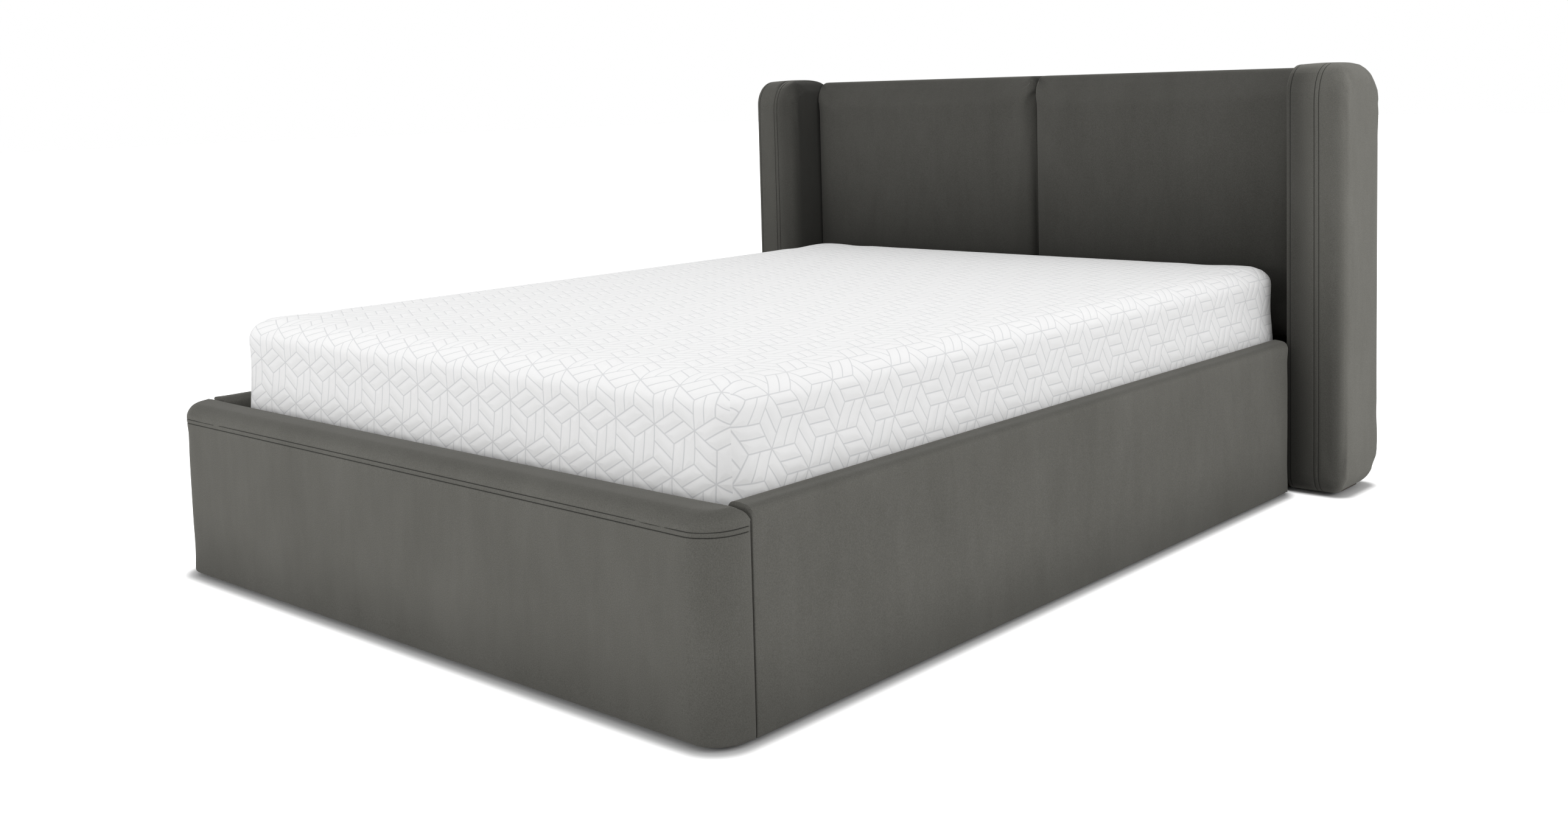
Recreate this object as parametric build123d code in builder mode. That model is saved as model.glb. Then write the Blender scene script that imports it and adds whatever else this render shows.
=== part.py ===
"""Ottoman bed: an upholstered storage bed with a winged headboard and a lifting mattress platform.

Frame of the model: +Z up, +Y towards the headboard, +X to the right of a person who
stands at the foot and looks at the headboard. The origin is on the floor, in the middle
of the bed's outer box. All sizes are millimetres.
"""
import os
from math import asin, cos, degrees, hypot, pi, radians, sin

from build123d import *

os.makedirs("parts", exist_ok=True)

# Driving dimensions of the whole bed
bed_length = 2275.0
bed_width = 1870.0
headboard_height = 1048.0
mattress_thickness = 250.0
platform_height = 300.0  # floor to the underside of the mattress
rail_height = 380.0
base_bottom = 5.0  # underside of the upholstery above the floor
overrun = 2.0  # how far a cut runs past the face that it opens
slip = 0.3  # clearance of pieces that are laid into one another or pass one another
shaft_fit = 0.05  # radial clearance of a pin in its hole

# Mattress
mattress_corner = 60.0
mattress_top_round = 45.0
mattress_bottom_round = 22.0
mattress_crown = 3.0
mattress_draw_in = 5.0  # how far the sides are drawn in at half height
mattress_head_gap = 38.0
mattress_foot_gap = 26.0
mattress_side_gap = 12.0

# Footboard
footboard_thickness = 86.0
footboard_corner = 58.0
footboard_top_round = 30.0
footboard_bottom_round = 18.0
footboard_panel_thickness = 46.0
footboard_foam = 34.0  # padding round the panel

# Side rails
rail_proud = 15.0  # how far a rail's side stands out past a wing's inner face
rail_thickness = 50.0
rail_panel_thickness = 22.0
rail_foam = 24.0  # padding outside and over the panel
rail_top_round = 15.0
rail_end_round = 28.0

# Headboard between the wings
pad_front_inset = 125.0  # from the back of the bed to the front of the pads
pad_thickness = 62.0
pad_bottom_gap = 12.0  # from the top of the rails to the pads
pad_top_drop = 7.0
pad_top_round = 52.0
pad_edge_round = 16.0
pad_cap = 29.0  # padding over the top of the frame
headboard_frame_depth = 45.0
timber_bar = 45.0
timber_post = 76.0  # outer uprights, which the rails are bolted to
headboard_windows = 6

# Wings
wing_thickness = 138.0
wing_depth = 248.0
wing_back_round = 100.0
wing_front_round = 72.0
wing_foot_round = 64.0
wing_heel_round = 92.0
wing_outer_round = 34.0
wing_inner_round = 9.0
wing_foam = 26.0
wing_frame_drop = 70.0
wing_windows = 3

# Storage box inside the bed
floor_panel_thickness = 9.0
floor_batten = 20.0
centre_rail_width = 60.0
end_board_thickness = 18.0
end_board_height = 285.0
ledge_width = 30.0
ledge_height = 28.0
ledge_foot_gap = 60.0
glide_radius = 15.0
glide_chamfer = 1.5
glide_inset = 90.0

# Steel platform and its slats
frame_side_gap = 14.5  # from a rail's inner face to the frame
frame_head_gap = 50.0  # from the headboard pads to the frame
frame_foot_gap = 41.0  # from the footboard to the frame
frame_bar_width = 30.0
frame_bar_height = 24.0
frame_wall = 3.0
frame_bays = 3
slat_rows = 13
slat_width = 60.0
slat_thickness = 8.0
slat_bow = 3.0
holder_base = 2.3
holder_wall = 2.0
holder_side = 3.0
holder_reach = 26.0
holder_web = 3.0
end_play = 0.6

# Lift mechanism. A place on it is s, its distance from the headboard pads, and its height
track_height = 95.0
track_start = 220.0
track_spare = 2.0
arm_length = 300.0
arm_top_drop = 19.1  # from the platform frame's underside to the arm's upper pin
lift_angle = 36.0
base_plate_thickness = 3.0
base_plate_low = 40.0
base_plate_high = 132.0
base_plate_margin = 48.0
base_plate_corner = 14.0
base_flange = 24.0
base_screw_high = 119.0
base_screw_low = 60.0
arm_thickness = 5.0
arm_half_width = 17.0
arm_slot_half_width = 6.0
hanger_thickness = 3.0
layer_gap = 0.5  # between a moving arm and the fixed plate beside it
pin_radius = 6.0
pin_head_radius = 10.0
pin_head_thickness = 2.2
bush_radius = 10.0
bush_fit = 0.25
lug_radius = 19.0
hanger_start = 150.0
hanger_end = 640.0
hanger_strip = 36.0
hanger_top_drop = 3.0
hanger_corner = 6.0
strut_foot_share = 0.88  # from the track's start to the strut's foot, in arm lengths
strut_foot_height = 60.0
strut_head_share = 0.66
strut_head_drop = 22.1  # from the platform frame's underside to the strut's upper stud
strut_inset = 36.0  # from a rail's inner face to the strut's centre line
strut_radius = 11.0
strut_bore = 9.0
strut_cylinder_start = 18.0
strut_end_wall = 6.0
strut_rod_radius = 4.5
strut_piston_thickness = 12.0
strut_piston_fit = 0.1
strut_piston_start = 27.0
strut_rod_gap = 13.7  # from the rod's tip to the middle of the eye
strut_neck_radius = 7.0
strut_neck_length = 14.0
strut_neck_gap = 10.0  # bare rod between the cylinder and the rod end, with the bed closed
strut_stem_radius = 5.0
strut_eye_radius = 10.5
strut_eye_width = 12.0
stud_radius = 4.0
stud_collar_radius = 7.0
stud_head_thickness = 2.5
eye_slack = 1.9  # radial slack of the rod end's eye on its stud
eye_shift_along = 1.35  # the eye is bored this much nearer the cylinder
eye_shift_across = 1.0

# Fasteners and small steel parts
bolt_radius = 4.0
bolt_head_radius = 7.5
bolt_head_thickness = 4.0
bolt_socket_radius = 3.0
bolt_socket_depth = 2.2
bolt_length = 26.0
screw_radius = 2.5
screw_head_radius = 5.0
screw_length = 18.0
bracket_leg = 46.0
bracket_low = 60.0
bracket_height = 120.0
bracket_thickness = 3.0
retainer_radius = 5.0
retainer_rise = 46.0
retainer_half_width = 310.0
retainer_foot_bend = 9.0
strap_width = 38.0
strap_thickness = 2.4
strap_loop = 12.0
strap_drop = 80.0

# Places that follow from the sizes above
foot_front = -bed_length / 2
head_back = bed_length / 2
rail_start = foot_front + footboard_thickness
wing_outer = bed_width / 2
wing_inner = wing_outer - wing_thickness
rail_outer = wing_inner + rail_proud
rail_inner = rail_outer - rail_thickness
rail_panel_out = rail_outer - rail_foam
rail_panel_in = rail_panel_out - rail_panel_thickness
rail_panel_top = rail_height - rail_foam
pad_front = head_back - pad_front_inset
pad_back = pad_front + pad_thickness
frame_back = pad_back + headboard_frame_depth
pad_bottom = rail_height + pad_bottom_gap
pad_top = headboard_height - pad_top_drop
pad_side = wing_inner - slip
wing_front = head_back - wing_depth
rail_end = wing_front - 2 * slip
foot_panel_front = foot_front + footboard_foam
foot_panel_back = foot_panel_front + footboard_panel_thickness
foot_panel_half = rail_outer - footboard_foam
foot_panel_top = rail_height - footboard_foam
end_board_front = pad_front - end_board_thickness
floor_top = base_bottom + floor_batten + floor_panel_thickness
frame_top = platform_height - slip - slat_bow - slat_thickness - slip - holder_base
frame_bottom = frame_top - frame_bar_height
frame_half = rail_inner - frame_side_gap
frame_head = pad_front - frame_head_gap
frame_foot = rail_start + frame_foot_gap
frame_length = frame_head - frame_foot
mattress_head = pad_front - mattress_head_gap
mattress_foot = rail_start + mattress_foot_gap
mattress_length = mattress_head - mattress_foot
mattress_width = 2 * (rail_inner - mattress_side_gap)

# The lift's closed triangle: guide, arm top and arm foot, with two equal sides
arm_top_height = frame_bottom - arm_top_drop
strut_head_height = frame_bottom - strut_head_drop
strut_foot_s = track_start + strut_foot_share * arm_length
strut_head_s = track_start + strut_head_share * arm_length
arm_slope = asin((arm_top_height - track_height) / arm_length)
arm_top_s = track_start + arm_length * cos(arm_slope)
arm_foot_s = track_start + 2 * arm_length * cos(arm_slope)
track_end = arm_foot_s - 2 * arm_length * cos(arm_slope + radians(lift_angle))

# Layers of the lift, from a rail's inner face towards the middle of the bed
plate_in = rail_inner - base_plate_thickness
arm_out = plate_in - layer_gap
arm_in = arm_out - arm_thickness
hanger_out = frame_half + hanger_thickness
strut_x = rail_inner - strut_inset
ledge_head = pad_front - arm_foot_s - 2 * base_plate_margin


def at(s, height, x=0.0):
    """Point at a distance s in front of the headboard pads, at a height and a place across."""
    return (x, pad_front - s, height)


def save(built, label):
    """Label a finished piece and write its STEP file."""
    built.part.label = label
    export_step(built.part, f"parts/{label}.step")


def save_pair(built, name):
    """Write the right-hand piece and its mirror image on the left."""
    with BuildPart() as mirrored:
        mirror(objects=built.part, about=Plane.YZ)
    save(built, f"{name}_right")
    save(mirrored, f"{name}_left")


def save_both(built, name):
    """Write the right-hand pieces and their mirror images as one node."""
    with BuildPart() as both:
        add(built.part)
        mirror(objects=built.part, about=Plane.YZ)
    save(both, name)


def block(x_range, y_range, z_range, mode=Mode.ADD):
    """Add or cut a block given by its ranges along the three axes."""
    ranges = (x_range, y_range, z_range)
    centre = tuple((low + high) / 2 for low, high in ranges)
    with Locations(centre):
        Box(*(high - low for low, high in ranges), mode=mode)


def round_bar(place, direction, radius, start, end, mode=Mode.ADD):
    """Add or cut a round bar that runs from start to end along a direction."""
    with BuildSketch(Plane(origin=place, z_dir=direction).offset(start)) as section:
        Circle(radius)
    extrude(section.sketch, amount=end - start, mode=mode)


def side_plane(x_low):
    """Sketch plane that faces across the bed, with x running to the head and y up."""
    return Plane(origin=(x_low, 0, 0), x_dir=(0, 1, 0), z_dir=(1, 0, 0))


# Bolts that draw the bed's corners together, listed for the right-hand side
bracket_heights = (bracket_low + bracket_height / 4, bracket_low + bracket_height * 3 / 4)
foot_bolt_y = rail_start + bracket_leg * 2 / 3
head_bolt_y = pad_back - bracket_leg * 2 / 3
foot_bolt_x = rail_inner - bracket_leg * 2 / 3
head_bolt_x = rail_panel_in - bracket_leg * 2 / 3


def cut_bolt_holes(places, direction):
    """Drill the bolt holes at the places, along the direction."""
    for place in places:
        round_bar(place, direction, bolt_radius + shaft_fit, -overrun, bolt_length, Mode.SUBTRACT)


def rail_bolts():
    """Bolt places on the brackets' legs along a rail."""
    foot = [(rail_inner - bracket_thickness, foot_bolt_y, height) for height in bracket_heights]
    head = [(rail_panel_in - bracket_thickness, head_bolt_y, height) for height in bracket_heights]
    return foot + head


def cross_bolts():
    """Bolt places on the brackets' legs across the bed, at the foot and at the head."""
    foot = [(foot_bolt_x, rail_start + bracket_thickness, height) for height in bracket_heights]
    head = [(head_bolt_x, pad_back - bracket_thickness, height) for height in bracket_heights]
    return foot, head


def plate_screws():
    """Screw places on the fixed plate of the lift: a high row and two low ones."""
    low_s = arm_foot_s + base_plate_margin / 2
    length = low_s - track_start
    high_shares = (0.0, 0.25, 0.5, 0.75, 1.0)
    places = [at(track_start + share * length, base_screw_high, plate_in) for share in high_shares]
    low_shares = (0.25, 0.75)
    return places + [at(track_start + share * length, base_screw_low, plate_in) for share in low_shares]


def mirrored_places(places):
    """The places with their mirror images on the left."""
    return places + [(-x, y, z) for x, y, z in places]


# Footboard: a padded slab with rounded corners over a plain panel
def build_footboard():
    panel_x = (-foot_panel_half, foot_panel_half)
    panel_y = (foot_panel_front, foot_panel_back)
    foot_bolts = mirrored_places(cross_bolts()[0])
    with BuildPart() as cover:
        with BuildSketch(Plane.XY.offset(base_bottom)) as plan:
            with Locations((0, (foot_front + rail_start) / 2)):
                Rectangle(2 * rail_outer, footboard_thickness)
            fillet(plan.vertices().group_by(Axis.Y)[0], radius=footboard_corner)
        extrude(amount=rail_height - base_bottom)
        fillet(cover.faces().sort_by(Axis.Z)[-1].edges(), radius=footboard_top_round)
        low_edges = cover.faces().sort_by(Axis.Z)[0].edges()
        fillet([edge for edge in low_edges if edge.center().Y < rail_start - slip],
               radius=footboard_bottom_round)
        block(panel_x, panel_y, (base_bottom - overrun, foot_panel_top), Mode.SUBTRACT)
        cut_bolt_holes(foot_bolts, (0, -1, 0))
    save(cover, "footboard_cover")
    with BuildPart() as panel:
        block(panel_x, panel_y, (base_bottom, foot_panel_top))
        cut_bolt_holes(foot_bolts, (0, -1, 0))
    save(panel, "footboard_panel")


# Side rails: a panel that runs on to the headboard, in a padded cover that stops at the wing
def build_side_rail():
    with BuildPart() as cover:
        with BuildSketch(Plane.XY.offset(base_bottom)) as plan:
            with Locations(((rail_inner + rail_outer) / 2, (rail_start + rail_end) / 2)):
                Rectangle(rail_thickness, rail_end - rail_start)
            far_corner = plan.vertices().group_by(Axis.Y)[-1].sort_by(Axis.X)[-1]
            fillet(far_corner, radius=rail_end_round)
        extrude(amount=rail_height - base_bottom)
        top_edges = cover.faces().sort_by(Axis.Z)[-1].edges()
        fillet([edge for edge in top_edges if edge.center().Y > rail_start + slip],
               radius=rail_top_round)
        block(
            (rail_panel_in, rail_panel_out),
            (rail_start - overrun, rail_end + overrun),
            (base_bottom - overrun, rail_panel_top),
            Mode.SUBTRACT,
        )
        cut_bolt_holes(rail_bolts(), (1, 0, 0))
        for place in plate_screws():
            round_bar(place, (1, 0, 0), screw_radius + shaft_fit, 0, screw_length + overrun, Mode.SUBTRACT)
    save_pair(cover, "side_rail_cover")
    with BuildPart() as panel:
        block((rail_panel_in, rail_panel_out), (rail_start, pad_back), (base_bottom, rail_panel_top))
        cut_bolt_holes(rail_bolts(), (1, 0, 0))
        for place in plate_screws():
            round_bar(place, (1, 0, 0), screw_radius + shaft_fit, 0, screw_length + overrun, Mode.SUBTRACT)
    save_pair(panel, "side_rail_panel")


# Headboard: a timber frame, two pads that meet in a seam, and a back panel
def build_headboard():
    frame_high = pad_top - pad_cap
    half = pad_side
    head_bolts = mirrored_places(cross_bolts()[1])
    with BuildPart() as frame:
        block((-half, half), (pad_back, frame_back), (base_bottom, frame_high))
        pitch = (2 * half - 2 * timber_post + timber_bar) / headboard_windows
        window_z = (
            (base_bottom + timber_bar, pad_bottom),
            (pad_bottom + timber_bar, frame_high - timber_bar),
        )
        for number in range(headboard_windows):
            low = timber_post - half + number * pitch
            for z_range in window_z:
                block(
                    (low, low + pitch - timber_bar),
                    (pad_back - overrun, frame_back + overrun),
                    z_range,
                    Mode.SUBTRACT,
                )
        cut_bolt_holes(head_bolts, (0, 1, 0))
    save(frame, "headboard_frame")
    with BuildPart() as pad:
        block((slip / 2, half), (pad_front, frame_back), (pad_bottom, pad_top))
        front = pad.faces().sort_by(Axis.Y)[0]
        fillet(front.edges().sort_by(Axis.Z)[-1], radius=pad_top_round)
        for side in (pad.faces().sort_by(Axis.X)[0], pad.faces().sort_by(Axis.X)[-1]):
            chain = [
                edge for edge in side.edges()
                if edge.center().Z > pad_bottom + slip and edge.center().Y < frame_back - slip
            ]
            fillet(chain, radius=pad_edge_round)
        block(
            (-overrun, half + overrun),
            (pad_back, frame_back + overrun),
            (pad_bottom - overrun, frame_high),
            Mode.SUBTRACT,
        )
    save_pair(pad, "headboard_pad")
    with BuildPart() as back:
        block((-half, half), (frame_back, head_back), (base_bottom, pad_top))
        fillet(back.edges().group_by(Axis.Z)[-1].sort_by(Axis.Y)[-1], radius=wing_inner_round)
    save(back, "headboard_back")


# Wings: a padded upright each side of the headboard, on a timber ladder. Both covers are cut
# alike, with the tight edge on their left, so the left one is a copy and not a mirror image
def build_wing():
    frame_x = (wing_inner + wing_foam, wing_outer - wing_foam)
    frame_y = (wing_front + wing_foam, head_back - wing_foam)
    frame_z = (base_bottom + wing_heel_round, headboard_height - wing_frame_drop)
    foot_y = (wing_front + wing_foot_round, head_back - wing_heel_round)
    with BuildPart() as cover:
        with BuildSketch(side_plane(wing_inner)) as outline:
            with Locations(((wing_front + head_back) / 2, (base_bottom + headboard_height) / 2)):
                Rectangle(wing_depth, headboard_height - base_bottom)
            for row, corner, radius in (
                (-1, 0, wing_front_round),
                (-1, -1, wing_back_round),
                (0, 0, wing_foot_round),
                (0, -1, wing_heel_round),
            ):
                fillet(outline.vertices().group_by(Axis.Y)[row].sort_by(Axis.X)[corner], radius=radius)
        extrude(amount=wing_outer - wing_inner)
        for side, radius in ((-1, wing_outer_round), (0, wing_inner_round)):
            fillet(cover.faces().filter_by(Axis.X).sort_by(Axis.X)[side].edges(), radius=radius)
        block(frame_x, frame_y, frame_z, Mode.SUBTRACT)
        block(frame_x, foot_y, (base_bottom - overrun, frame_z[0]), Mode.SUBTRACT)
    save(cover, "wing_cover_right")
    with BuildPart() as left_cover:
        add(cover.part.moved(Location((-wing_inner - wing_outer, 0, 0))))
    save(left_cover, "wing_cover_left")
    with BuildPart() as frame:
        block(frame_x, frame_y, frame_z)
        block(frame_x, foot_y, (base_bottom, frame_z[0]))
        pitch = (frame_z[1] - frame_z[0] - timber_bar) / wing_windows
        for number in range(wing_windows):
            low = frame_z[0] + timber_bar + number * pitch
            block(
                (frame_x[0] - overrun, frame_x[1] + overrun),
                (frame_y[0] + timber_bar, frame_y[1] - timber_bar),
                (low, low + pitch - timber_bar),
                Mode.SUBTRACT,
            )
    save_pair(frame, "wing_frame")


# Storage box: floor in two panels on battens, an end board, and ledges that carry the platform
def build_storage():
    middle = (rail_start + end_board_front) / 2
    panel_z = (base_bottom + floor_batten, floor_top)
    for label, y_range in (
        ("storage_floor_foot", (rail_start, middle - slip)),
        ("storage_floor_head", (middle, end_board_front)),
    ):
        with BuildPart() as panel:
            block((-rail_inner, rail_inner), y_range, panel_z)
        save(panel, label)
    batten_z = (base_bottom, base_bottom + floor_batten)
    with BuildPart() as batten:
        block((rail_inner - floor_batten, rail_inner), (rail_start, end_board_front), batten_z)
    save_pair(batten, "floor_batten")
    with BuildPart() as centre:
        block((-centre_rail_width / 2, centre_rail_width / 2), (rail_start, end_board_front), batten_z)
    save(centre, "floor_centre_rail")
    with BuildPart() as end_board:
        block(
            (-rail_panel_in, rail_panel_in),
            (end_board_front, pad_front),
            (base_bottom, end_board_height),
        )
    save(end_board, "head_end_board")
    with BuildPart() as ledge:
        block(
            (rail_inner - ledge_width, rail_inner),
            (rail_start + ledge_foot_gap, ledge_head),
            (frame_bottom - slip - ledge_height, frame_bottom - slip),
        )
    save_pair(ledge, "platform_ledge")


# Glides: plastic discs under the panels, the wings and the floor's centre rail
def build_glides():
    rail_x = (rail_panel_in + rail_panel_out) / 2
    wing_x = (wing_inner + wing_outer) / 2
    right = [(rail_x, rail_start + glide_inset), (rail_x, 0), (rail_x, rail_end - glide_inset)]
    right += [(wing_x, wing_front + wing_foot_round + glide_radius)]
    right += [(wing_x, head_back - wing_heel_round - glide_radius)]
    right += [(foot_panel_half - glide_inset, (foot_panel_front + foot_panel_back) / 2)]
    places = right + [(-x, y) for x, y in right] + [(0, rail_start / 2), (0, -rail_start / 2)]
    with BuildPart() as glides:
        with BuildSketch(Plane.XY):
            with Locations(*places):
                Circle(glide_radius)
        extrude(amount=base_bottom)
        chamfer(glides.edges().group_by(Axis.Z)[0], length=glide_chamfer)
    save(glides, "floor_glides")


# Corner brackets and their bolts
def build_brackets():
    z_range = (bracket_low, bracket_low + bracket_height)
    foot_bolts, head_bolts = cross_bolts()
    for label, corner_x, corner_y, turn, bolts in (
        ("foot_bracket", rail_inner, rail_start, 1, foot_bolts),
        ("head_bracket", rail_panel_in, pad_back, -1, head_bolts),
    ):
        across_y = sorted((corner_y, corner_y + turn * bracket_thickness))
        along_y = sorted((corner_y, corner_y + turn * bracket_leg))
        with BuildPart() as bracket:
            block((corner_x - bracket_leg, corner_x), across_y, z_range)
            block((corner_x - bracket_thickness, corner_x), along_y, z_range)
            cut_bolt_holes(rail_bolts(), (1, 0, 0))
            cut_bolt_holes(bolts, (0, -turn, 0))
        save_pair(bracket, label)
    with BuildPart() as bolt_set:
        for places, direction in (
            (rail_bolts(), (1, 0, 0)),
            (foot_bolts, (0, -1, 0)),
            (head_bolts, (0, 1, 0)),
        ):
            for place in places:
                round_bar(place, direction, bolt_radius, 0, bolt_length - overrun)
                round_bar(place, direction, bolt_head_radius, -bolt_head_thickness, 0)
                socket = Plane(origin=place, z_dir=direction).offset(-bolt_head_thickness)
                with BuildSketch(socket):
                    RegularPolygon(bolt_socket_radius, 6)
                extrude(amount=bolt_socket_depth, mode=Mode.SUBTRACT)
    save_both(bolt_set, "corner_bolts")


# Lift, fixed side: an angle plate with a straight track, the arm's stud and the strut's stud
def build_fixed_plate():
    with BuildPart() as plate:
        plane = side_plane(plate_in)
        head_y = pad_front - track_start + base_plate_margin
        foot_y = pad_front - arm_foot_s - base_plate_margin
        with BuildSketch(plane):
            with Locations(((head_y + foot_y) / 2, (base_plate_low + base_plate_high) / 2)):
                RectangleRounded(head_y - foot_y, base_plate_high - base_plate_low, base_plate_corner)
        extrude(amount=base_plate_thickness)
        block(
            (rail_inner - base_flange, rail_inner),
            (foot_y + base_plate_corner, head_y - base_plate_corner),
            (base_plate_low, base_plate_low + base_plate_thickness),
        )
        track_middle = pad_front - (track_start + track_end) / 2
        with BuildSketch(plane.offset(-overrun)):
            with Locations((track_middle, track_height)):
                SlotCenterToCenter(track_end - track_start + 2 * track_spare, 2 * (bush_radius + bush_fit))
        extrude(amount=base_plate_thickness + 2 * overrun, mode=Mode.SUBTRACT)
        for place, radius in (
            (at(arm_foot_s, track_height, plate_in), pin_radius),
            (at(strut_foot_s, strut_foot_height, plate_in), stud_radius),
        ):
            round_bar(
                place, (1, 0, 0), radius + shaft_fit, -overrun, base_plate_thickness + overrun,
                Mode.SUBTRACT,
            )
        for place in plate_screws():
            with Locations(Plane(origin=place, z_dir=(1, 0, 0))):
                Cone(
                    screw_head_radius + slip, screw_radius + slip, base_plate_thickness,
                    align=(Align.CENTER, Align.CENTER, Align.MIN), mode=Mode.SUBTRACT,
                )
    save_pair(plate, "lift_plate")
    with BuildPart() as screws:
        for place in plate_screws():
            with Locations(Plane(origin=place, z_dir=(1, 0, 0))):
                Cone(
                    screw_head_radius, screw_radius, base_plate_thickness,
                    align=(Align.CENTER, Align.CENTER, Align.MIN),
                )
            round_bar(place, (1, 0, 0), screw_radius, base_plate_thickness, screw_length)
    save_both(screws, "lift_plate_screws")
    with BuildPart() as arm_stud:
        foot = at(arm_foot_s, track_height)
        round_bar(foot, (1, 0, 0), pin_radius, arm_in - slip, rail_inner)
        round_bar(foot, (1, 0, 0), pin_head_radius, arm_in - slip - pin_head_thickness, arm_in - slip)
    save_both(arm_stud, "arm_studs")
    eye_in = strut_x - strut_eye_width / 2
    eye_out = strut_x + strut_eye_width / 2
    with BuildPart() as strut_stud:
        foot = at(strut_foot_s, strut_foot_height)
        round_bar(foot, (1, 0, 0), stud_radius, eye_in - slip, rail_inner)
        round_bar(foot, (1, 0, 0), stud_collar_radius, eye_out + slip, plate_in)
        round_bar(foot, (1, 0, 0), stud_collar_radius, eye_in - slip - stud_head_thickness, eye_in - slip)
    save_both(strut_stud, "strut_foot_studs")


# Lift, moving arm, with the stepped pin that is riveted into its upper end
def build_arm():
    foot = at(arm_foot_s, track_height)
    top = at(arm_top_s, arm_top_height)
    middle = ((foot[1] + top[1]) / 2, (foot[2] + top[2]) / 2)
    with BuildPart() as arm:
        with BuildSketch(side_plane(arm_in)):
            with Locations(Location((*middle, 0), (0, 0, 180 - degrees(arm_slope)))):
                SlotCenterToCenter(arm_length, 2 * arm_half_width)
                SlotCenterToCenter(arm_length / 2, 2 * arm_slot_half_width, mode=Mode.SUBTRACT)
        extrude(amount=arm_thickness)
        for place in (foot, top):
            round_bar(
                place, (1, 0, 0), pin_radius + shaft_fit, arm_in - overrun, arm_out + overrun,
                Mode.SUBTRACT,
            )
    save_pair(arm, "lift_arm")
    with BuildPart() as pin:
        round_bar(top, (1, 0, 0), pin_radius, frame_half - slip, arm_out)
        round_bar(top, (1, 0, 0), pin_head_radius, hanger_out + slip, arm_in)
        round_bar(
            top, (1, 0, 0), pin_head_radius, frame_half - slip - pin_head_thickness, frame_half - slip,
        )
    save_both(pin, "arm_top_pins")


# Lift, moving hanger plate under the platform, with its guide pin, bush and strut stud
def build_hanger():
    guide = at(track_start, track_height)
    top = at(arm_top_s, arm_top_height)
    strut_head = at(strut_head_s, strut_head_height)
    strip_top = frame_top - hanger_top_drop
    corner = at(hanger_start + lug_radius, frame_bottom)
    strip_s = (hanger_start + hanger_end) / 2
    with BuildPart() as hanger:
        with BuildSketch(side_plane(frame_half)):
            with BuildSketch(mode=Mode.PRIVATE) as web_circles:
                for place in (guide, top, corner):
                    with Locations((place[1], place[2])):
                        Circle(lug_radius)
            make_hull(web_circles.edges())
            with Locations((pad_front - strip_s, strip_top - hanger_strip / 2)):
                RectangleRounded(hanger_end - hanger_start, hanger_strip, hanger_corner)
            gap_y = (guide[1] + corner[1]) / 2 - lug_radius
            gap_z = (guide[2] + frame_bottom) / 2 + lug_radius
            with Locations((gap_y, gap_z)):
                Circle(lug_radius, mode=Mode.SUBTRACT)
            for place, radius in ((guide, pin_radius), (top, pin_radius), (strut_head, stud_radius)):
                with Locations((place[1], place[2])):
                    Circle(radius + shaft_fit, mode=Mode.SUBTRACT)
        extrude(amount=hanger_thickness)
    save_pair(hanger, "lift_hanger")
    pin_end = rail_inner - 2 * slip
    with BuildPart() as pin:
        round_bar(guide, (1, 0, 0), pin_radius, frame_half - pin_head_thickness, pin_end)
        round_bar(guide, (1, 0, 0), pin_head_radius, frame_half - pin_head_thickness, frame_half)
    save_both(pin, "guide_pins")
    with BuildPart() as bush:
        round_bar(guide, (1, 0, 0), bush_radius, hanger_out, pin_end)
        round_bar(
            guide, (1, 0, 0), pin_radius + shaft_fit, hanger_out - overrun, pin_end + overrun,
            Mode.SUBTRACT,
        )
    save_both(bush, "guide_bushes")
    eye_in = strut_x - strut_eye_width / 2
    eye_out = strut_x + strut_eye_width / 2
    with BuildPart() as stud:
        round_bar(strut_head, (1, 0, 0), stud_radius, eye_in - slip, hanger_out)
        round_bar(strut_head, (1, 0, 0), stud_collar_radius, eye_out + slip, frame_half)
        round_bar(
            strut_head, (1, 0, 0), stud_collar_radius, eye_in - slip - stud_head_thickness, eye_in - slip,
        )
    save_both(stud, "strut_head_studs")


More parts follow.
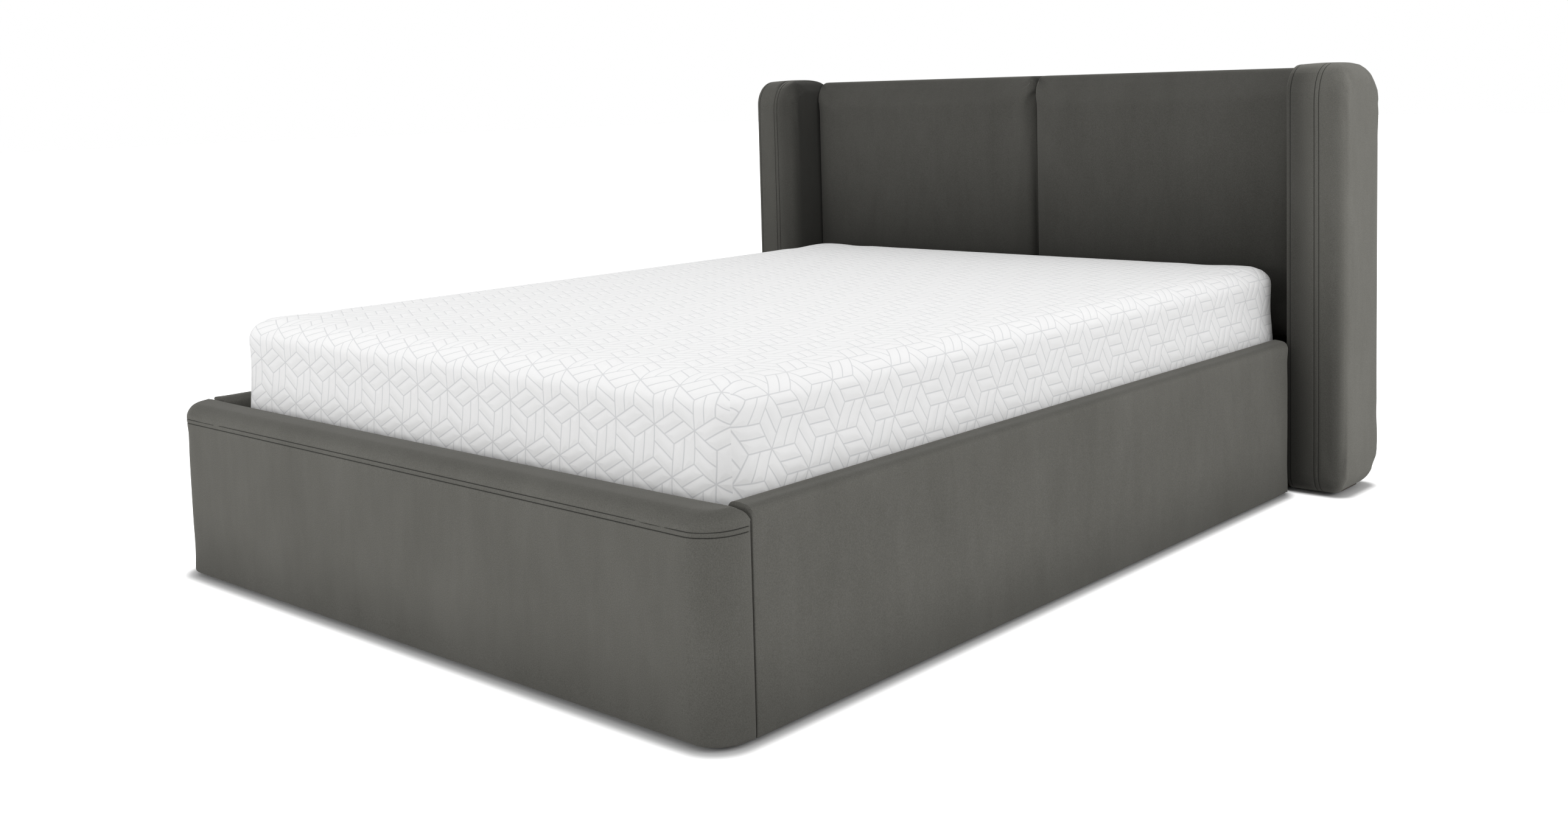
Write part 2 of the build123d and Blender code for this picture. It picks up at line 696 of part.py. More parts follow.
# Gas strut: a cylinder on the fixed plate and a rod under the hanger
def build_strut():
    foot = at(strut_foot_s, strut_foot_height, strut_x)
    head = at(strut_head_s, strut_head_height, strut_x)
    reach = hypot(head[1] - foot[1], head[2] - foot[2])
    direction = (0, (head[1] - foot[1]) / reach, (head[2] - foot[2]) / reach)
    across = (0, direction[2], -direction[1])
    half_eye = strut_eye_width / 2
    strut_rod_end = reach - strut_rod_gap
    neck_start = strut_rod_end - strut_neck_length
    cylinder_end = neck_start - strut_neck_gap
    with BuildPart() as cylinder:
        round_bar(foot, (1, 0, 0), strut_eye_radius, -half_eye, half_eye)
        round_bar(foot, direction, strut_stem_radius, 0, strut_cylinder_start)
        round_bar(foot, direction, strut_radius, strut_cylinder_start, cylinder_end)
        round_bar(
            foot, direction, strut_bore, strut_cylinder_start + strut_end_wall,
            cylinder_end - strut_end_wall, Mode.SUBTRACT,
        )
        round_bar(
            foot, direction, strut_rod_radius + shaft_fit, cylinder_end - strut_end_wall - overrun,
            cylinder_end + overrun, Mode.SUBTRACT,
        )
        round_bar(
            foot, (1, 0, 0), stud_radius + shaft_fit, -half_eye - overrun, half_eye + overrun,
            Mode.SUBTRACT,
        )
    save_pair(cylinder, "strut_cylinder")
    with BuildPart() as rod:
        piston_end = strut_piston_start + strut_piston_thickness
        round_bar(foot, direction, strut_rod_radius, strut_piston_start, strut_rod_end)
        round_bar(foot, direction, strut_bore - strut_piston_fit, strut_piston_start, piston_end)
    save_pair(rod, "strut_rod")
    shift_y = -eye_shift_along * direction[1] - eye_shift_across * across[1]
    shift_z = -eye_shift_along * direction[2] - eye_shift_across * across[2]
    bored_eye = (head[0], head[1] + shift_y, head[2] + shift_z)
    with BuildPart() as rod_end:
        round_bar(head, (1, 0, 0), strut_eye_radius, -half_eye, half_eye)
        round_bar(foot, direction, strut_neck_radius, neck_start, strut_rod_end)
        round_bar(foot, direction, strut_stem_radius, strut_rod_end, reach)
        round_bar(
            bored_eye, (1, 0, 0), stud_radius + eye_slack, -half_eye - overrun, half_eye + overrun,
            Mode.SUBTRACT,
        )
        round_bar(
            foot, direction, strut_rod_radius + shaft_fit, neck_start - overrun, strut_rod_end,
            Mode.SUBTRACT,
        )
    save_pair(rod_end, "strut_rod_end")


# Platform frame: steel angles all round, with channels across and down the middle
def build_platform_frame():
    width = 2 * frame_half
    middle = (frame_head + frame_foot) / 2
    bay = (frame_length - frame_bar_width) / frame_bays
    cross = [frame_foot + frame_bar_width / 2 + bay * number for number in range(1, frame_bays)]
    with BuildPart() as frame:
        with BuildSketch(Plane.XY.offset(frame_top - frame_wall)):
            with Locations((0, middle)):
                Rectangle(width, frame_length)
                Rectangle(
                    width - 2 * frame_bar_width, frame_length - 2 * frame_bar_width,
                    mode=Mode.SUBTRACT,
                )
                Rectangle(frame_bar_width, frame_length)
            with Locations(*[(0, y) for y in cross]):
                Rectangle(width, frame_bar_width)
        extrude(amount=frame_wall)
        with BuildSketch(Plane.XY.offset(frame_bottom)):
            with Locations((0, middle)):
                Rectangle(width, frame_length)
                Rectangle(width - 2 * frame_wall, frame_length - 2 * frame_wall, mode=Mode.SUBTRACT)
                for x in (frame_bar_width / 2, -frame_bar_width / 2):
                    with Locations((x - frame_wall / 2 * (1 if x > 0 else -1), 0)):
                        Rectangle(frame_wall, frame_length)
            for y in cross:
                for edge in (1, -1):
                    with Locations((0, y + edge * (frame_bar_width - frame_wall) / 2)):
                        Rectangle(width, frame_wall)
        extrude(amount=frame_bar_height - frame_wall)
    save(frame, "platform_frame")


def slat_places():
    """Y of the middle of each slat row."""
    first = frame_foot + frame_bar_width / 2 + slat_width / 2
    last = frame_head - frame_bar_width / 2 - slat_width / 2
    return [first + (last - first) * number / (slat_rows - 1) for number in range(slat_rows)]


# Slats: two banks of bowed slats in plastic holders on the frame
def build_slats():
    seat = frame_top + holder_base + slip
    outer = frame_half - holder_web - end_play
    inner = holder_web / 2 + end_play
    middle = (outer + inner) / 2
    with BuildPart() as bank:
        for y in slat_places():
            with BuildSketch(Plane.XZ.offset(-y - slat_width / 2)):
                with BuildLine():
                    ThreePointArc((inner, seat), (middle, seat + slat_bow), (outer, seat))
                    Line((outer, seat), (outer, seat + slat_thickness))
                    ThreePointArc(
                        (outer, seat + slat_thickness),
                        (middle, seat + slat_thickness + slat_bow),
                        (inner, seat + slat_thickness),
                    )
                    Line((inner, seat + slat_thickness), (inner, seat))
                make_face()
            extrude(amount=slat_width)
    save_pair(bank, "slat_bank")
    half_width = slat_width / 2 + slip
    pocket_top = seat + slat_thickness + 2 * slip
    z_range = (frame_top, pocket_top + holder_wall)
    with BuildPart() as holders:
        for y in slat_places():
            outer_y = (y - half_width - holder_side, y + half_width + holder_side)
            pocket_y = (y - half_width, y + half_width)
            pocket_z = (frame_top + holder_base, pocket_top)
            for side in (1, -1):
                outer_x = sorted((side * frame_half, side * (frame_half - holder_reach)))
                block(outer_x, outer_y, z_range)
                pocket_x = sorted((
                    side * (frame_half - holder_web),
                    side * (frame_half - holder_reach - overrun),
                ))
                block(pocket_x, pocket_y, pocket_z, Mode.SUBTRACT)
            block((-holder_reach, holder_reach), outer_y, z_range)
            for side in (1, -1):
                pocket_x = sorted((side * holder_web / 2, side * (holder_reach + overrun)))
                block(pocket_x, pocket_y, pocket_z, Mode.SUBTRACT)
    save(holders, "slat_holders")


# Mattress: a block with rounded edges, sides drawn in and a low crown
def build_mattress():
    quarter = pi / 2
    steps = 4
    layers = []
    for number in range(steps):
        angle = quarter * number / steps
        inset = mattress_bottom_round * (1 - sin(angle))
        layers.append((inset, mattress_bottom_round * (1 - cos(angle))))
    side_low = mattress_bottom_round
    side_high = mattress_thickness - mattress_crown - mattress_top_round
    for number in range(steps + 1):
        share = number / steps
        draw = mattress_draw_in * sin(pi * share)
        layers.append((draw, side_low + (side_high - side_low) * share))
    for number in range(1, steps + 1):
        angle = quarter * number / steps
        inset = mattress_top_round * (1 - cos(angle))
        layers.append((inset, side_high + mattress_top_round * sin(angle)))
    crown_shares = ((0.12, 0.6), (0.3, 1.0))
    for inset_share, rise_share in crown_shares:
        layers.append((
            mattress_top_round + mattress_width * inset_share,
            mattress_thickness - mattress_crown * (1 - rise_share),
        ))
    with BuildPart() as mattress:
        for inset, height in layers:
            with BuildSketch(Plane.XY.offset(platform_height + height)):
                with Locations((0, (mattress_head + mattress_foot) / 2)):
                    RectangleRounded(
                        mattress_width - 2 * inset, mattress_length - 2 * inset, mattress_corner,
                    )
        loft(ruled=True)
    save(mattress, "mattress")


# Retainer bar and pull strap at the platform's foot end
def build_foot_end():
    bar_y = mattress_foot - slip - retainer_radius
    low = frame_top - frame_wall - retainer_radius
    high = platform_height + retainer_rise
    half = retainer_half_width
    with BuildPart() as retainer:
        with BuildLine() as route:
            FilletPolyline(
                (-half, frame_foot, low),
                (-half, bar_y, low),
                (-half, bar_y, high),
                (half, bar_y, high),
                (half, bar_y, low),
                (half, frame_foot, low),
                radius=retainer_foot_bend,
            )
        with BuildSketch(Plane(origin=route.wires()[0] @ 0, z_dir=route.wires()[0] % 0)):
            Circle(retainer_radius)
        sweep()
    save(retainer, "mattress_retainer")
    with BuildPart() as strap:
        depth = strap_loop + strap_thickness
        centre_y = frame_foot - depth / 2
        with BuildSketch(side_plane(-strap_width / 2)):
            with Locations(Location((centre_y, frame_top - strap_drop / 2, 0), (0, 0, 90))):
                SlotOverall(strap_drop, depth)
                SlotOverall(
                    strap_drop - 2 * strap_thickness, depth - 2 * strap_thickness,
                    mode=Mode.SUBTRACT,
                )
        extrude(amount=strap_width)
    save(strap, "pull_strap")


build_footboard()
build_side_rail()
build_headboard()
build_wing()
build_storage()
build_glides()
build_brackets()
build_fixed_plate()
build_arm()
build_hanger()
build_strut()
build_platform_frame()
build_slats()
build_mattress()
build_foot_end()
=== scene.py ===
"""Ottoman bed, dressed: velvet covers, stitching, a quilted mattress and the lift under it.

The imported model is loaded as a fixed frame. Every upholstered part gets a piece of its own,
modelled over its place in the frame, and every other part keeps its shape and gets a finish.
Sizes are in metres, with +Z up, +Y towards the headboard and +X to the right.
"""
import logging
import math
from dataclasses import dataclass, field
from enum import Enum
from typing import Callable

import bmesh
import bpy
import numpy as np
from mathutils import Matrix, Vector


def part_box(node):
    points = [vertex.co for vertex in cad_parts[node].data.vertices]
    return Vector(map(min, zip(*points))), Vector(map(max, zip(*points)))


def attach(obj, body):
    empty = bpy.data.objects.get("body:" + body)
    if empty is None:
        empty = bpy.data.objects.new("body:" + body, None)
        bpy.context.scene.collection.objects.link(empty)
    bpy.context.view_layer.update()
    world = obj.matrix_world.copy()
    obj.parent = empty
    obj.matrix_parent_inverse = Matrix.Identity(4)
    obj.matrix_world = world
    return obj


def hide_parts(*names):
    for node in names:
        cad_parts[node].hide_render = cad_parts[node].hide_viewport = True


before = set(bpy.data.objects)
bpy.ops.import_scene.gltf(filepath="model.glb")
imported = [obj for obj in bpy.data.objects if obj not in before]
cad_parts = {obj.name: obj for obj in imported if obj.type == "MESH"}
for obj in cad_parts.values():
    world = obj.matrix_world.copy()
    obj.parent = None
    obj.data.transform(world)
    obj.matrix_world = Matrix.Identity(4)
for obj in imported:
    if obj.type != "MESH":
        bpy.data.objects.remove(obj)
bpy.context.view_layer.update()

log = logging.getLogger("ottoman_bed")

Colour = tuple[float, float, float]
Point = tuple[float, float, float]
Piece = bpy.types.Object
Material = bpy.types.Material
Node = bpy.types.Node
Socket = bpy.types.NodeSocket
Tree = bpy.types.NodeTree
Test = Callable[[Vector, Vector], bool]
Share = Callable[[np.ndarray], np.ndarray]

NEAR = 1e-4  # places closer than this are the same place
TALL = 0.1  # an edge that rises further than this stands upright
ON_PLANE = 1e-6  # a point this close to a cut's plane was made by the cut
SAME = 1e-5  # points of a seam closer than this are one
TINY = 1e-9  # length that stands in for none in a division
MESH_PITCH = 0.022  # width of the squares that a cover's surface is divided into


class Side(Enum):
    """Which side of the bed, seen from the foot."""

    LEFT = -1
    RIGHT = 1

    @property
    def word(self) -> str:
        """The side's name, as the frame's nodes end."""
        return self.name.lower()


class Across(Enum):
    """Axis that a seam's plane stands square to."""

    X = 0
    Z = 2


def linear(red: int, green: int, blue: int) -> Colour:
    """Turn a colour of 0 to 255 per channel into Blender's linear values.

    Args:
        red: red channel.
        green: green channel.
        blue: blue channel.

    Returns:
        The linear colour.
    """
    values = []
    for channel in (red, green, blue):
        share = channel / 255
        values.append(share / 12.92 if share <= 0.04045 else ((share + 0.055) / 1.055) ** 2.4)
    return (values[0], values[1], values[2])


def upright(first: Vector, last: Vector) -> bool:
    """Whether an edge between two points stands upright."""
    return abs(first.z - last.z) > TALL


def within(**planes: float) -> Test:
    """Test whether an edge lies in every one of some planes.

    Args:
        planes: x, y or z to the place of the plane on that axis.

    Returns:
        The test.
    """
    return lambda *ends: all(
        abs(getattr(end, axis) - place) < NEAR for end in ends for axis, place in planes.items()
    )


# ---------------------------------------------------------------- node groups


class Nodes:
    """Short way to add and join shader nodes in one tree."""

    def __init__(self, tree: Tree) -> None:
        """Keep the tree that the nodes go into."""
        self.tree = tree

    def add(self, kind: str, links: dict | None = None, **settings: object) -> Node:
        """Add a node, set its properties and feed its sockets.

        Args:
            kind: Blender's type name of the node.
            links: socket name or number to a value or to another node's output.
            settings: properties of the node.

        Returns:
            The new node.
        """
        node = self.tree.nodes.new(kind)
        for name, value in settings.items():
            setattr(node, name, value)
        self.feed(node, links or {})
        return node

    def feed(self, node: Node, links: dict) -> None:
        """Feed a node's sockets.

        Args:
            node: the node.
            links: socket name or number to a value or to another node's output.
        """
        for socket, value in links.items():
            if isinstance(value, Socket):
                self.tree.links.new(value, node.inputs[socket])
            else:
                node.inputs[socket].default_value = value

    def effect(self, tree: Tree, **links: object) -> Node:
        """Place a shared effect."""
        return self.add("ShaderNodeGroup", links, node_tree=tree)

    def scale(self, vector: Socket, factor: object) -> Socket:
        """Make a vector longer or a colour brighter by a factor.

        Args:
            vector: the vector or colour.
            factor: the factor, a number or another node's output.

        Returns:
            The changed vector or colour.
        """
        node = self.vector("SCALE", vector)
        self.feed(node, {"Scale": factor})
        return node.outputs[0]

    def math(self, operation: str, *values: object) -> Socket:
        """Add a Math node.

        Args:
            operation: what it works out.
            values: its inputs, numbers or outputs of other nodes.

        Returns:
            The node's result.
        """
        node = self.add("ShaderNodeMath", dict(enumerate(values)), operation=operation)
        return node.outputs[0]

    def vector(self, operation: str, *values: object) -> Node:
        """Add a Vector Math node.

        Args:
            operation: what it works out.
            values: its inputs, vectors or outputs of other nodes.

        Returns:
            The node.
        """
        return self.add("ShaderNodeVectorMath", dict(enumerate(values)), operation=operation)

    def noise(
        self, vector: Socket, scale: object, detail: float = 2.0, roughness: float = 0.5,
        distortion: float = 0.0,
    ) -> Socket:
        """Add a Noise Texture node.

        Args:
            vector: the coordinates.
            scale: how fine it is, a number or another node's output.
            detail: how many finer layers it has.
            roughness: how strong the finer layers are.
            distortion: how far it is pulled about.

        Returns:
            The noise, from 0 to 1.
        """
        node = self.add("ShaderNodeTexNoise", {
            "Vector": vector, "Scale": scale, "Detail": detail, "Roughness": roughness,
            "Distortion": distortion,
        })
        return node.outputs["Fac"]

    def spread(
        self, value: Socket, low: float, high: float, first: float = 0.0, last: float = 1.0,
    ) -> Socket:
        """Map a value evenly from one range to another, held at its ends.

        Args:
            value: what is mapped.
            low: where its range starts.
            high: where its range ends.
            first: the result at the start.
            last: the result at the end.

        Returns:
            The mapped value.
        """
        return self.add("ShaderNodeMapRange", {0: value, 1: low, 2: high, 3: first, 4: last}).outputs[0]

    def blend(self, share: object, first: object, second: object) -> Socket:
        """Mix two colours.

        Args:
            share: how much of the second counts.
            first: the first colour.
            second: the second colour.

        Returns:
            The mixed colour.
        """
        return self.add("ShaderNodeMix", {0: share, 6: first, 7: second}, data_type="RGBA").outputs[2]

    def smooth(self, value: Socket, low: float, high: float, first: float = 0.0) -> Socket:
        """Turn a value into a soft step up to 1.

        Args:
            value: what is stepped.
            low: where the step starts.
            high: where the step ends.
            first: the result at the start.

        Returns:
            The stepped value.
        """
        node = self.add(
            "ShaderNodeMapRange", {0: value, 1: low, 2: high, 3: first, 4: 1.0},
            interpolation_type="SMOOTHSTEP",
        )
        return node.outputs[0]


class Surface(Nodes):
    """Nodes of one material, round its Principled node."""

    def __init__(self, material: Material) -> None:
        """Start from a new material, measured in object coordinates.

        Args:
            material: the material.
        """
        material.use_nodes = True
        super().__init__(material.node_tree)
        self.principled = material.node_tree.nodes["Principled BSDF"]
        self.place = self.add("ShaderNodeTexCoord").outputs["Object"]

    def look(self, **sockets: object) -> None:
        """Feed the Principled node's sockets, each named with _ for a space."""
        self.feed(self.principled, {name.replace("_", " "): value for name, value in sockets.items()})

    def roughen(self, pattern: Socket, *ends: float) -> None:
        """Vary the roughness over the surface.

        Args:
            pattern: what it follows.
            ends: the pattern's low and high value, and the roughness at each.
        """
        self.look(Roughness=self.spread(pattern, *ends))

    def relief(self, height: Socket, strength: float, distance: float) -> None:
        """Feed a height into the surface's normal.

        Args:
            height: the height.
            strength: how much of it counts.
            distance: how far it stands out in metres.
        """
        bump = self.add("ShaderNodeBump", {"Height": height, "Strength": strength, "Distance": distance})
        self.look(Normal=bump.outputs[0])


class Effects:
    """Shader node groups that several finishes share, each built once."""

    def __init__(self) -> None:
        """Build every group."""
        self.pile = self._pile()
        self.weave = self._weave()
        self.grain = self._grain()
        self.wear = self._wear()
        self.dust = self._dust()

    @staticmethod
    def _group(name: str, inputs: dict, outputs: tuple[str, ...]) -> tuple:
        """Start a group with named inputs and outputs.

        Args:
            name: the group's name.
            inputs: name to default value, a number or a tuple for a vector or a colour.
            outputs: names of the value outputs.

        Returns:
            The group, its Nodes helper, its input node and its output node.
        """
        group = bpy.data.node_groups.new(name, "ShaderNodeTree")
        for label, value in inputs.items():
            kind = "NodeSocketVector" if isinstance(value, tuple) else "NodeSocketFloat"
            socket = group.interface.new_socket(name=label, in_out="INPUT", socket_type=kind)
            socket.default_value = value
        for label in outputs:
            group.interface.new_socket(name=label, in_out="OUTPUT", socket_type="NodeSocketFloat")
        nodes = Nodes(group)
        return group, nodes, nodes.add("NodeGroupInput"), nodes.add("NodeGroupOutput")

    def _pile(self) -> Tree:
        """Velvet's pile: cloudy shading where it lies one way or the other, and fine tufts.

        Returns:
            The group.
        """
        group, n, inside, out = self._group(
            "pile",
            {"Vector": (0.0, 0.0, 0.0), "Cloud": 0.45, "Streak": 0.18, "Tuft": 1.1},
            ("Shade", "Height"),
        )
        stretched = n.vector("MULTIPLY", inside.outputs["Vector"], (1.0, 1.0, 0.5))
        cloud = n.noise(stretched.outputs[0], 6.5, 4.0, 0.6)
        brushed = n.vector("MULTIPLY", inside.outputs["Vector"], (1.0, 1.0, 0.22))
        streak = n.noise(brushed.outputs[0], 34.0, roughness=0.6)
        tufts = n.noise(inside.outputs["Vector"], 520.0, roughness=0.75)
        total: object = 0.5
        for noise, weight in ((cloud, "Cloud"), (streak, "Streak"), (tufts, "Tuft")):
            total = n.math("MULTIPLY_ADD", n.math("SUBTRACT", noise, 0.5), inside.outputs[weight], total)
        n.feed(out, {"Shade": total, "Height": tufts})
        return group

    def _weave(self) -> Tree:
        """Plain weave of threads over and under, on the first two coordinates.

        Returns:
            The group.
        """
        group, n, inside, out = self._group(
            "weave", {"Vector": (0.0, 0.0, 0.0), "Threads": 900.0}, ("Height", "Shade"),
        )
        scaled = n.scale(inside.outputs["Vector"], inside.outputs["Threads"])
        parts = n.add("ShaderNodeSeparateXYZ", {0: scaled})
        warp = n.math("ABSOLUTE", n.math("SINE", n.math("MULTIPLY", parts.outputs[0], math.pi)))
        weft = n.math("ABSOLUTE", n.math("SINE", n.math("MULTIPLY", parts.outputs[1], math.pi)))
        cell = n.math("ADD", n.math("FLOOR", parts.outputs[0]), n.math("FLOOR", parts.outputs[1]))
        over = n.math("GREATER_THAN", n.math("PINGPONG", cell, 1.0), 0.5)
        mixed = n.add("ShaderNodeMix", {0: over, 2: warp, 3: weft})
        patchy = n.noise(inside.outputs["Vector"], 60.0, 3.0)
        shade = n.math("MULTIPLY_ADD", patchy, 0.5, n.math("MULTIPLY", mixed.outputs[0], 0.5))
        n.feed(out, {"Height": mixed.outputs[0], "Shade": shade})
        return group

    def _grain(self) -> Tree:
        """Wood grain that runs along the stretched axis, with darker year lines.

        Returns:
            The group.
        """
        group, n, inside, out = self._group(
            "grain",
            {"Vector": (0.0, 0.0, 0.0), "Along": (1.0, 0.06, 1.0), "Scale": 26.0},
            ("Figure", "Pores"),
        )
        stretched = n.vector("MULTIPLY", inside.outputs["Vector"], inside.outputs["Along"])
        figure = n.noise(stretched.outputs[0], inside.outputs["Scale"], 5.0, 0.62, 0.8)
        lines = n.math("SINE", n.math("MULTIPLY", figure, 46.0))
        pores = n.noise(stretched.outputs[0], n.math("MULTIPLY", inside.outputs["Scale"], 22.0))
        n.feed(out, {"Figure": n.math("MULTIPLY_ADD", lines, 0.22, figure), "Pores": pores})
        return group

    def _wear(self) -> Tree:
        """Rubbed edges: where the surface turns sharply, broken up by small noise.

        Returns:
            The group.
        """
        group, n, inside, out = self._group(
            "edge_wear", {"Vector": (0.0, 0.0, 0.0), "Amount": 0.5}, ("Mask",),
        )
        geometry = n.add("ShaderNodeNewGeometry")
        rubbed = n.smooth(geometry.outputs["Pointiness"], 0.515, 0.60)
        noise = n.noise(inside.outputs["Vector"], 140.0, 3.0)
        broken = n.math("MULTIPLY", rubbed, n.smooth(noise, 0.35, 0.65))
        n.feed(out, {"Mask": n.math("MULTIPLY", broken, inside.outputs["Amount"])})
        return group

    def _dust(self) -> Tree:
        """Light dust on what faces upwards.

        Returns:
            The group.
        """
        group, n, inside, out = self._group(
            "dust", {"Vector": (0.0, 0.0, 0.0), "Amount": 0.2}, ("Mask",),
        )
        geometry = n.add("ShaderNodeNewGeometry")
        up = n.add("ShaderNodeSeparateXYZ", {0: geometry.outputs["Normal"]})
        facing = n.smooth(up.outputs[2], 0.35, 0.95)
        noise = n.noise(inside.outputs["Vector"], 18.0, 4.0, 0.65)
        patchy = n.math("MULTIPLY", facing, n.smooth(noise, 0.3, 0.75))
        n.feed(out, {"Mask": n.math("MULTIPLY", patchy, inside.outputs["Amount"])})
        return group


EFFECTS = Effects()


# ---------------------------------------------------------------- finishes


@dataclass(frozen=True)
class Finish:
    """A surface finish that makes one Principled material."""

    name: str
    dark: Colour
    light: Colour

    def make(self) -> Material:
        """Make the material.

        Returns:
            The material.
        """
        material = bpy.data.materials.new(self.name)
        self.dress(Surface(material))
        return material

    def dress(self, n: Surface) -> None:
        """Join up the finish's nodes.

        Args:
            n: the material's nodes.
        """
        raise NotImplementedError

    def shades(self, n: Surface, share: Socket, low: float, high: float) -> Socket:
        """Colour the surface between dark and light.

        Args:
            n: the material's nodes.
            share: the pattern that picks the shade.
            low: the pattern's value at dark.
            high: the pattern's value at light.

        Returns:
            The colour.
        """
        ramp = n.add("ShaderNodeValToRGB", {0: n.spread(share, low, high)})
        ramp.color_ramp.elements[0].color = (*self.dark, 1.0)
        ramp.color_ramp.elements[1].color = (*self.light, 1.0)
        n.look(Base_Color=ramp.outputs[0])
        return ramp.outputs[0]


@dataclass(frozen=True)
class Velvet(Finish):
    """Short-pile upholstery velvet, with painted shade in its seams and painted light and shade by how
    it faces, how high it stands and how near a neighbour it is.
    """

    sheen: float = 0.12
    bloom: tuple[float, float, float, float] = (0.80, 0.79, 0.74, 1.0)  # colour of the sheen
    # painted shade: the colour at the bottom of a seam, where shade falls in the groove
    seam: Colour = (0.018, 0.018, 0.017)
    sunk: float = 0.8  # share of the painted shade colour at the bottom of a seam
    up: float = 0.72  # painted shade: brightness of what faces up
    low: float = 0.74  # painted shade: brightness at the lower of the two heights
    heights: tuple[float, float] = (0.0, 0.17)
    front: float = 1.0  # painted light and shade: brightness of what faces the foot, the right and the left
    right: float = 1.0
    left: float = 1.0
    inner: float = 1.0  # painted shade: brightness up to the first of the two distances from the middle
    across: tuple[float, float] = (0.80, 0.90)
    lift: float = 0.3  # painted light: how far the outer front is brightened again, low down
    front_only: bool = False  # whether the painted shade by height and distance counts on the front alone

    def dress(self, n: Surface) -> None:
        """Join up the finish's nodes, as Finish.dress says."""
        pile = n.effect(EFFECTS.pile, Vector=n.place)
        colour = self.shades(n, pile.outputs["Shade"], 0.2, 0.8)
        # Painted shade: the colour goes dark along the pressed seams that the seam attribute marks.
        line = n.add("ShaderNodeAttribute", attribute_name="seam").outputs["Fac"]
        sunk = n.math("MULTIPLY", n.smooth(line, 0.2, 0.95), self.sunk)
        sewn = n.blend(sunk, colour, (*self.seam, 1.0))
        # The colour is scaled by painted light and shade.
        n.look(
            Base_Color=n.scale(sewn, self._lie(n)), Specular_IOR_Level=0.15, Sheen_Weight=self.sheen,
            Sheen_Roughness=0.5, Sheen_Tint=self.bloom,
        )
        n.roughen(pile.outputs["Height"], 0.2, 0.8, 0.86, 1.0)
        n.relief(pile.outputs["Height"], 0.3, 0.0005)

    def _lie(self, n: Surface) -> Socket:
        """Painted light and shade on the velvet: darker from above, low down and close to a neighbour.

        Args:
            n: the material's nodes.

        Returns:
            The share of the colour that shows.
        """
        normal = n.add("ShaderNodeSeparateXYZ", {0: n.add("ShaderNodeNewGeometry").outputs["Normal"]})
        point = n.add("ShaderNodeSeparateXYZ", {0: n.place})
        level = n.smooth(point.outputs[2], *self.heights, self.low)
        outward = n.smooth(n.math("ABSOLUTE", point.outputs[0]), *self.across)
        beside = n.math("MULTIPLY_ADD", outward, 1.0 - self.inner, self.inner)
        share = n.math("MULTIPLY", n.math("MULTIPLY", level, beside), self.front)
        if self.front_only:
            lifted = n.math("MULTIPLY", outward, self.lift)
            outer = n.math("MULTIPLY_ADD", n.math("SUBTRACT", 1.0, level), lifted, share)
            ahead = n.smooth(n.math("MULTIPLY", normal.outputs[1], -1.0), 0.1, 0.9)
            turned = n.smooth(normal.outputs[0], -0.2, 0.2)
            across = n.add("ShaderNodeMix", {0: turned, 2: self.left, 3: self.right}).outputs[0]
            aside = n.add("ShaderNodeMix", {0: ahead, 2: across, 3: outer}).outputs[0]
        else:
            aside = share
        above = n.smooth(normal.outputs[2], 0.2, 0.95)
        return n.math("MULTIPLY", aside, n.math("MULTIPLY_ADD", above, self.up - 1.0, 1.0))


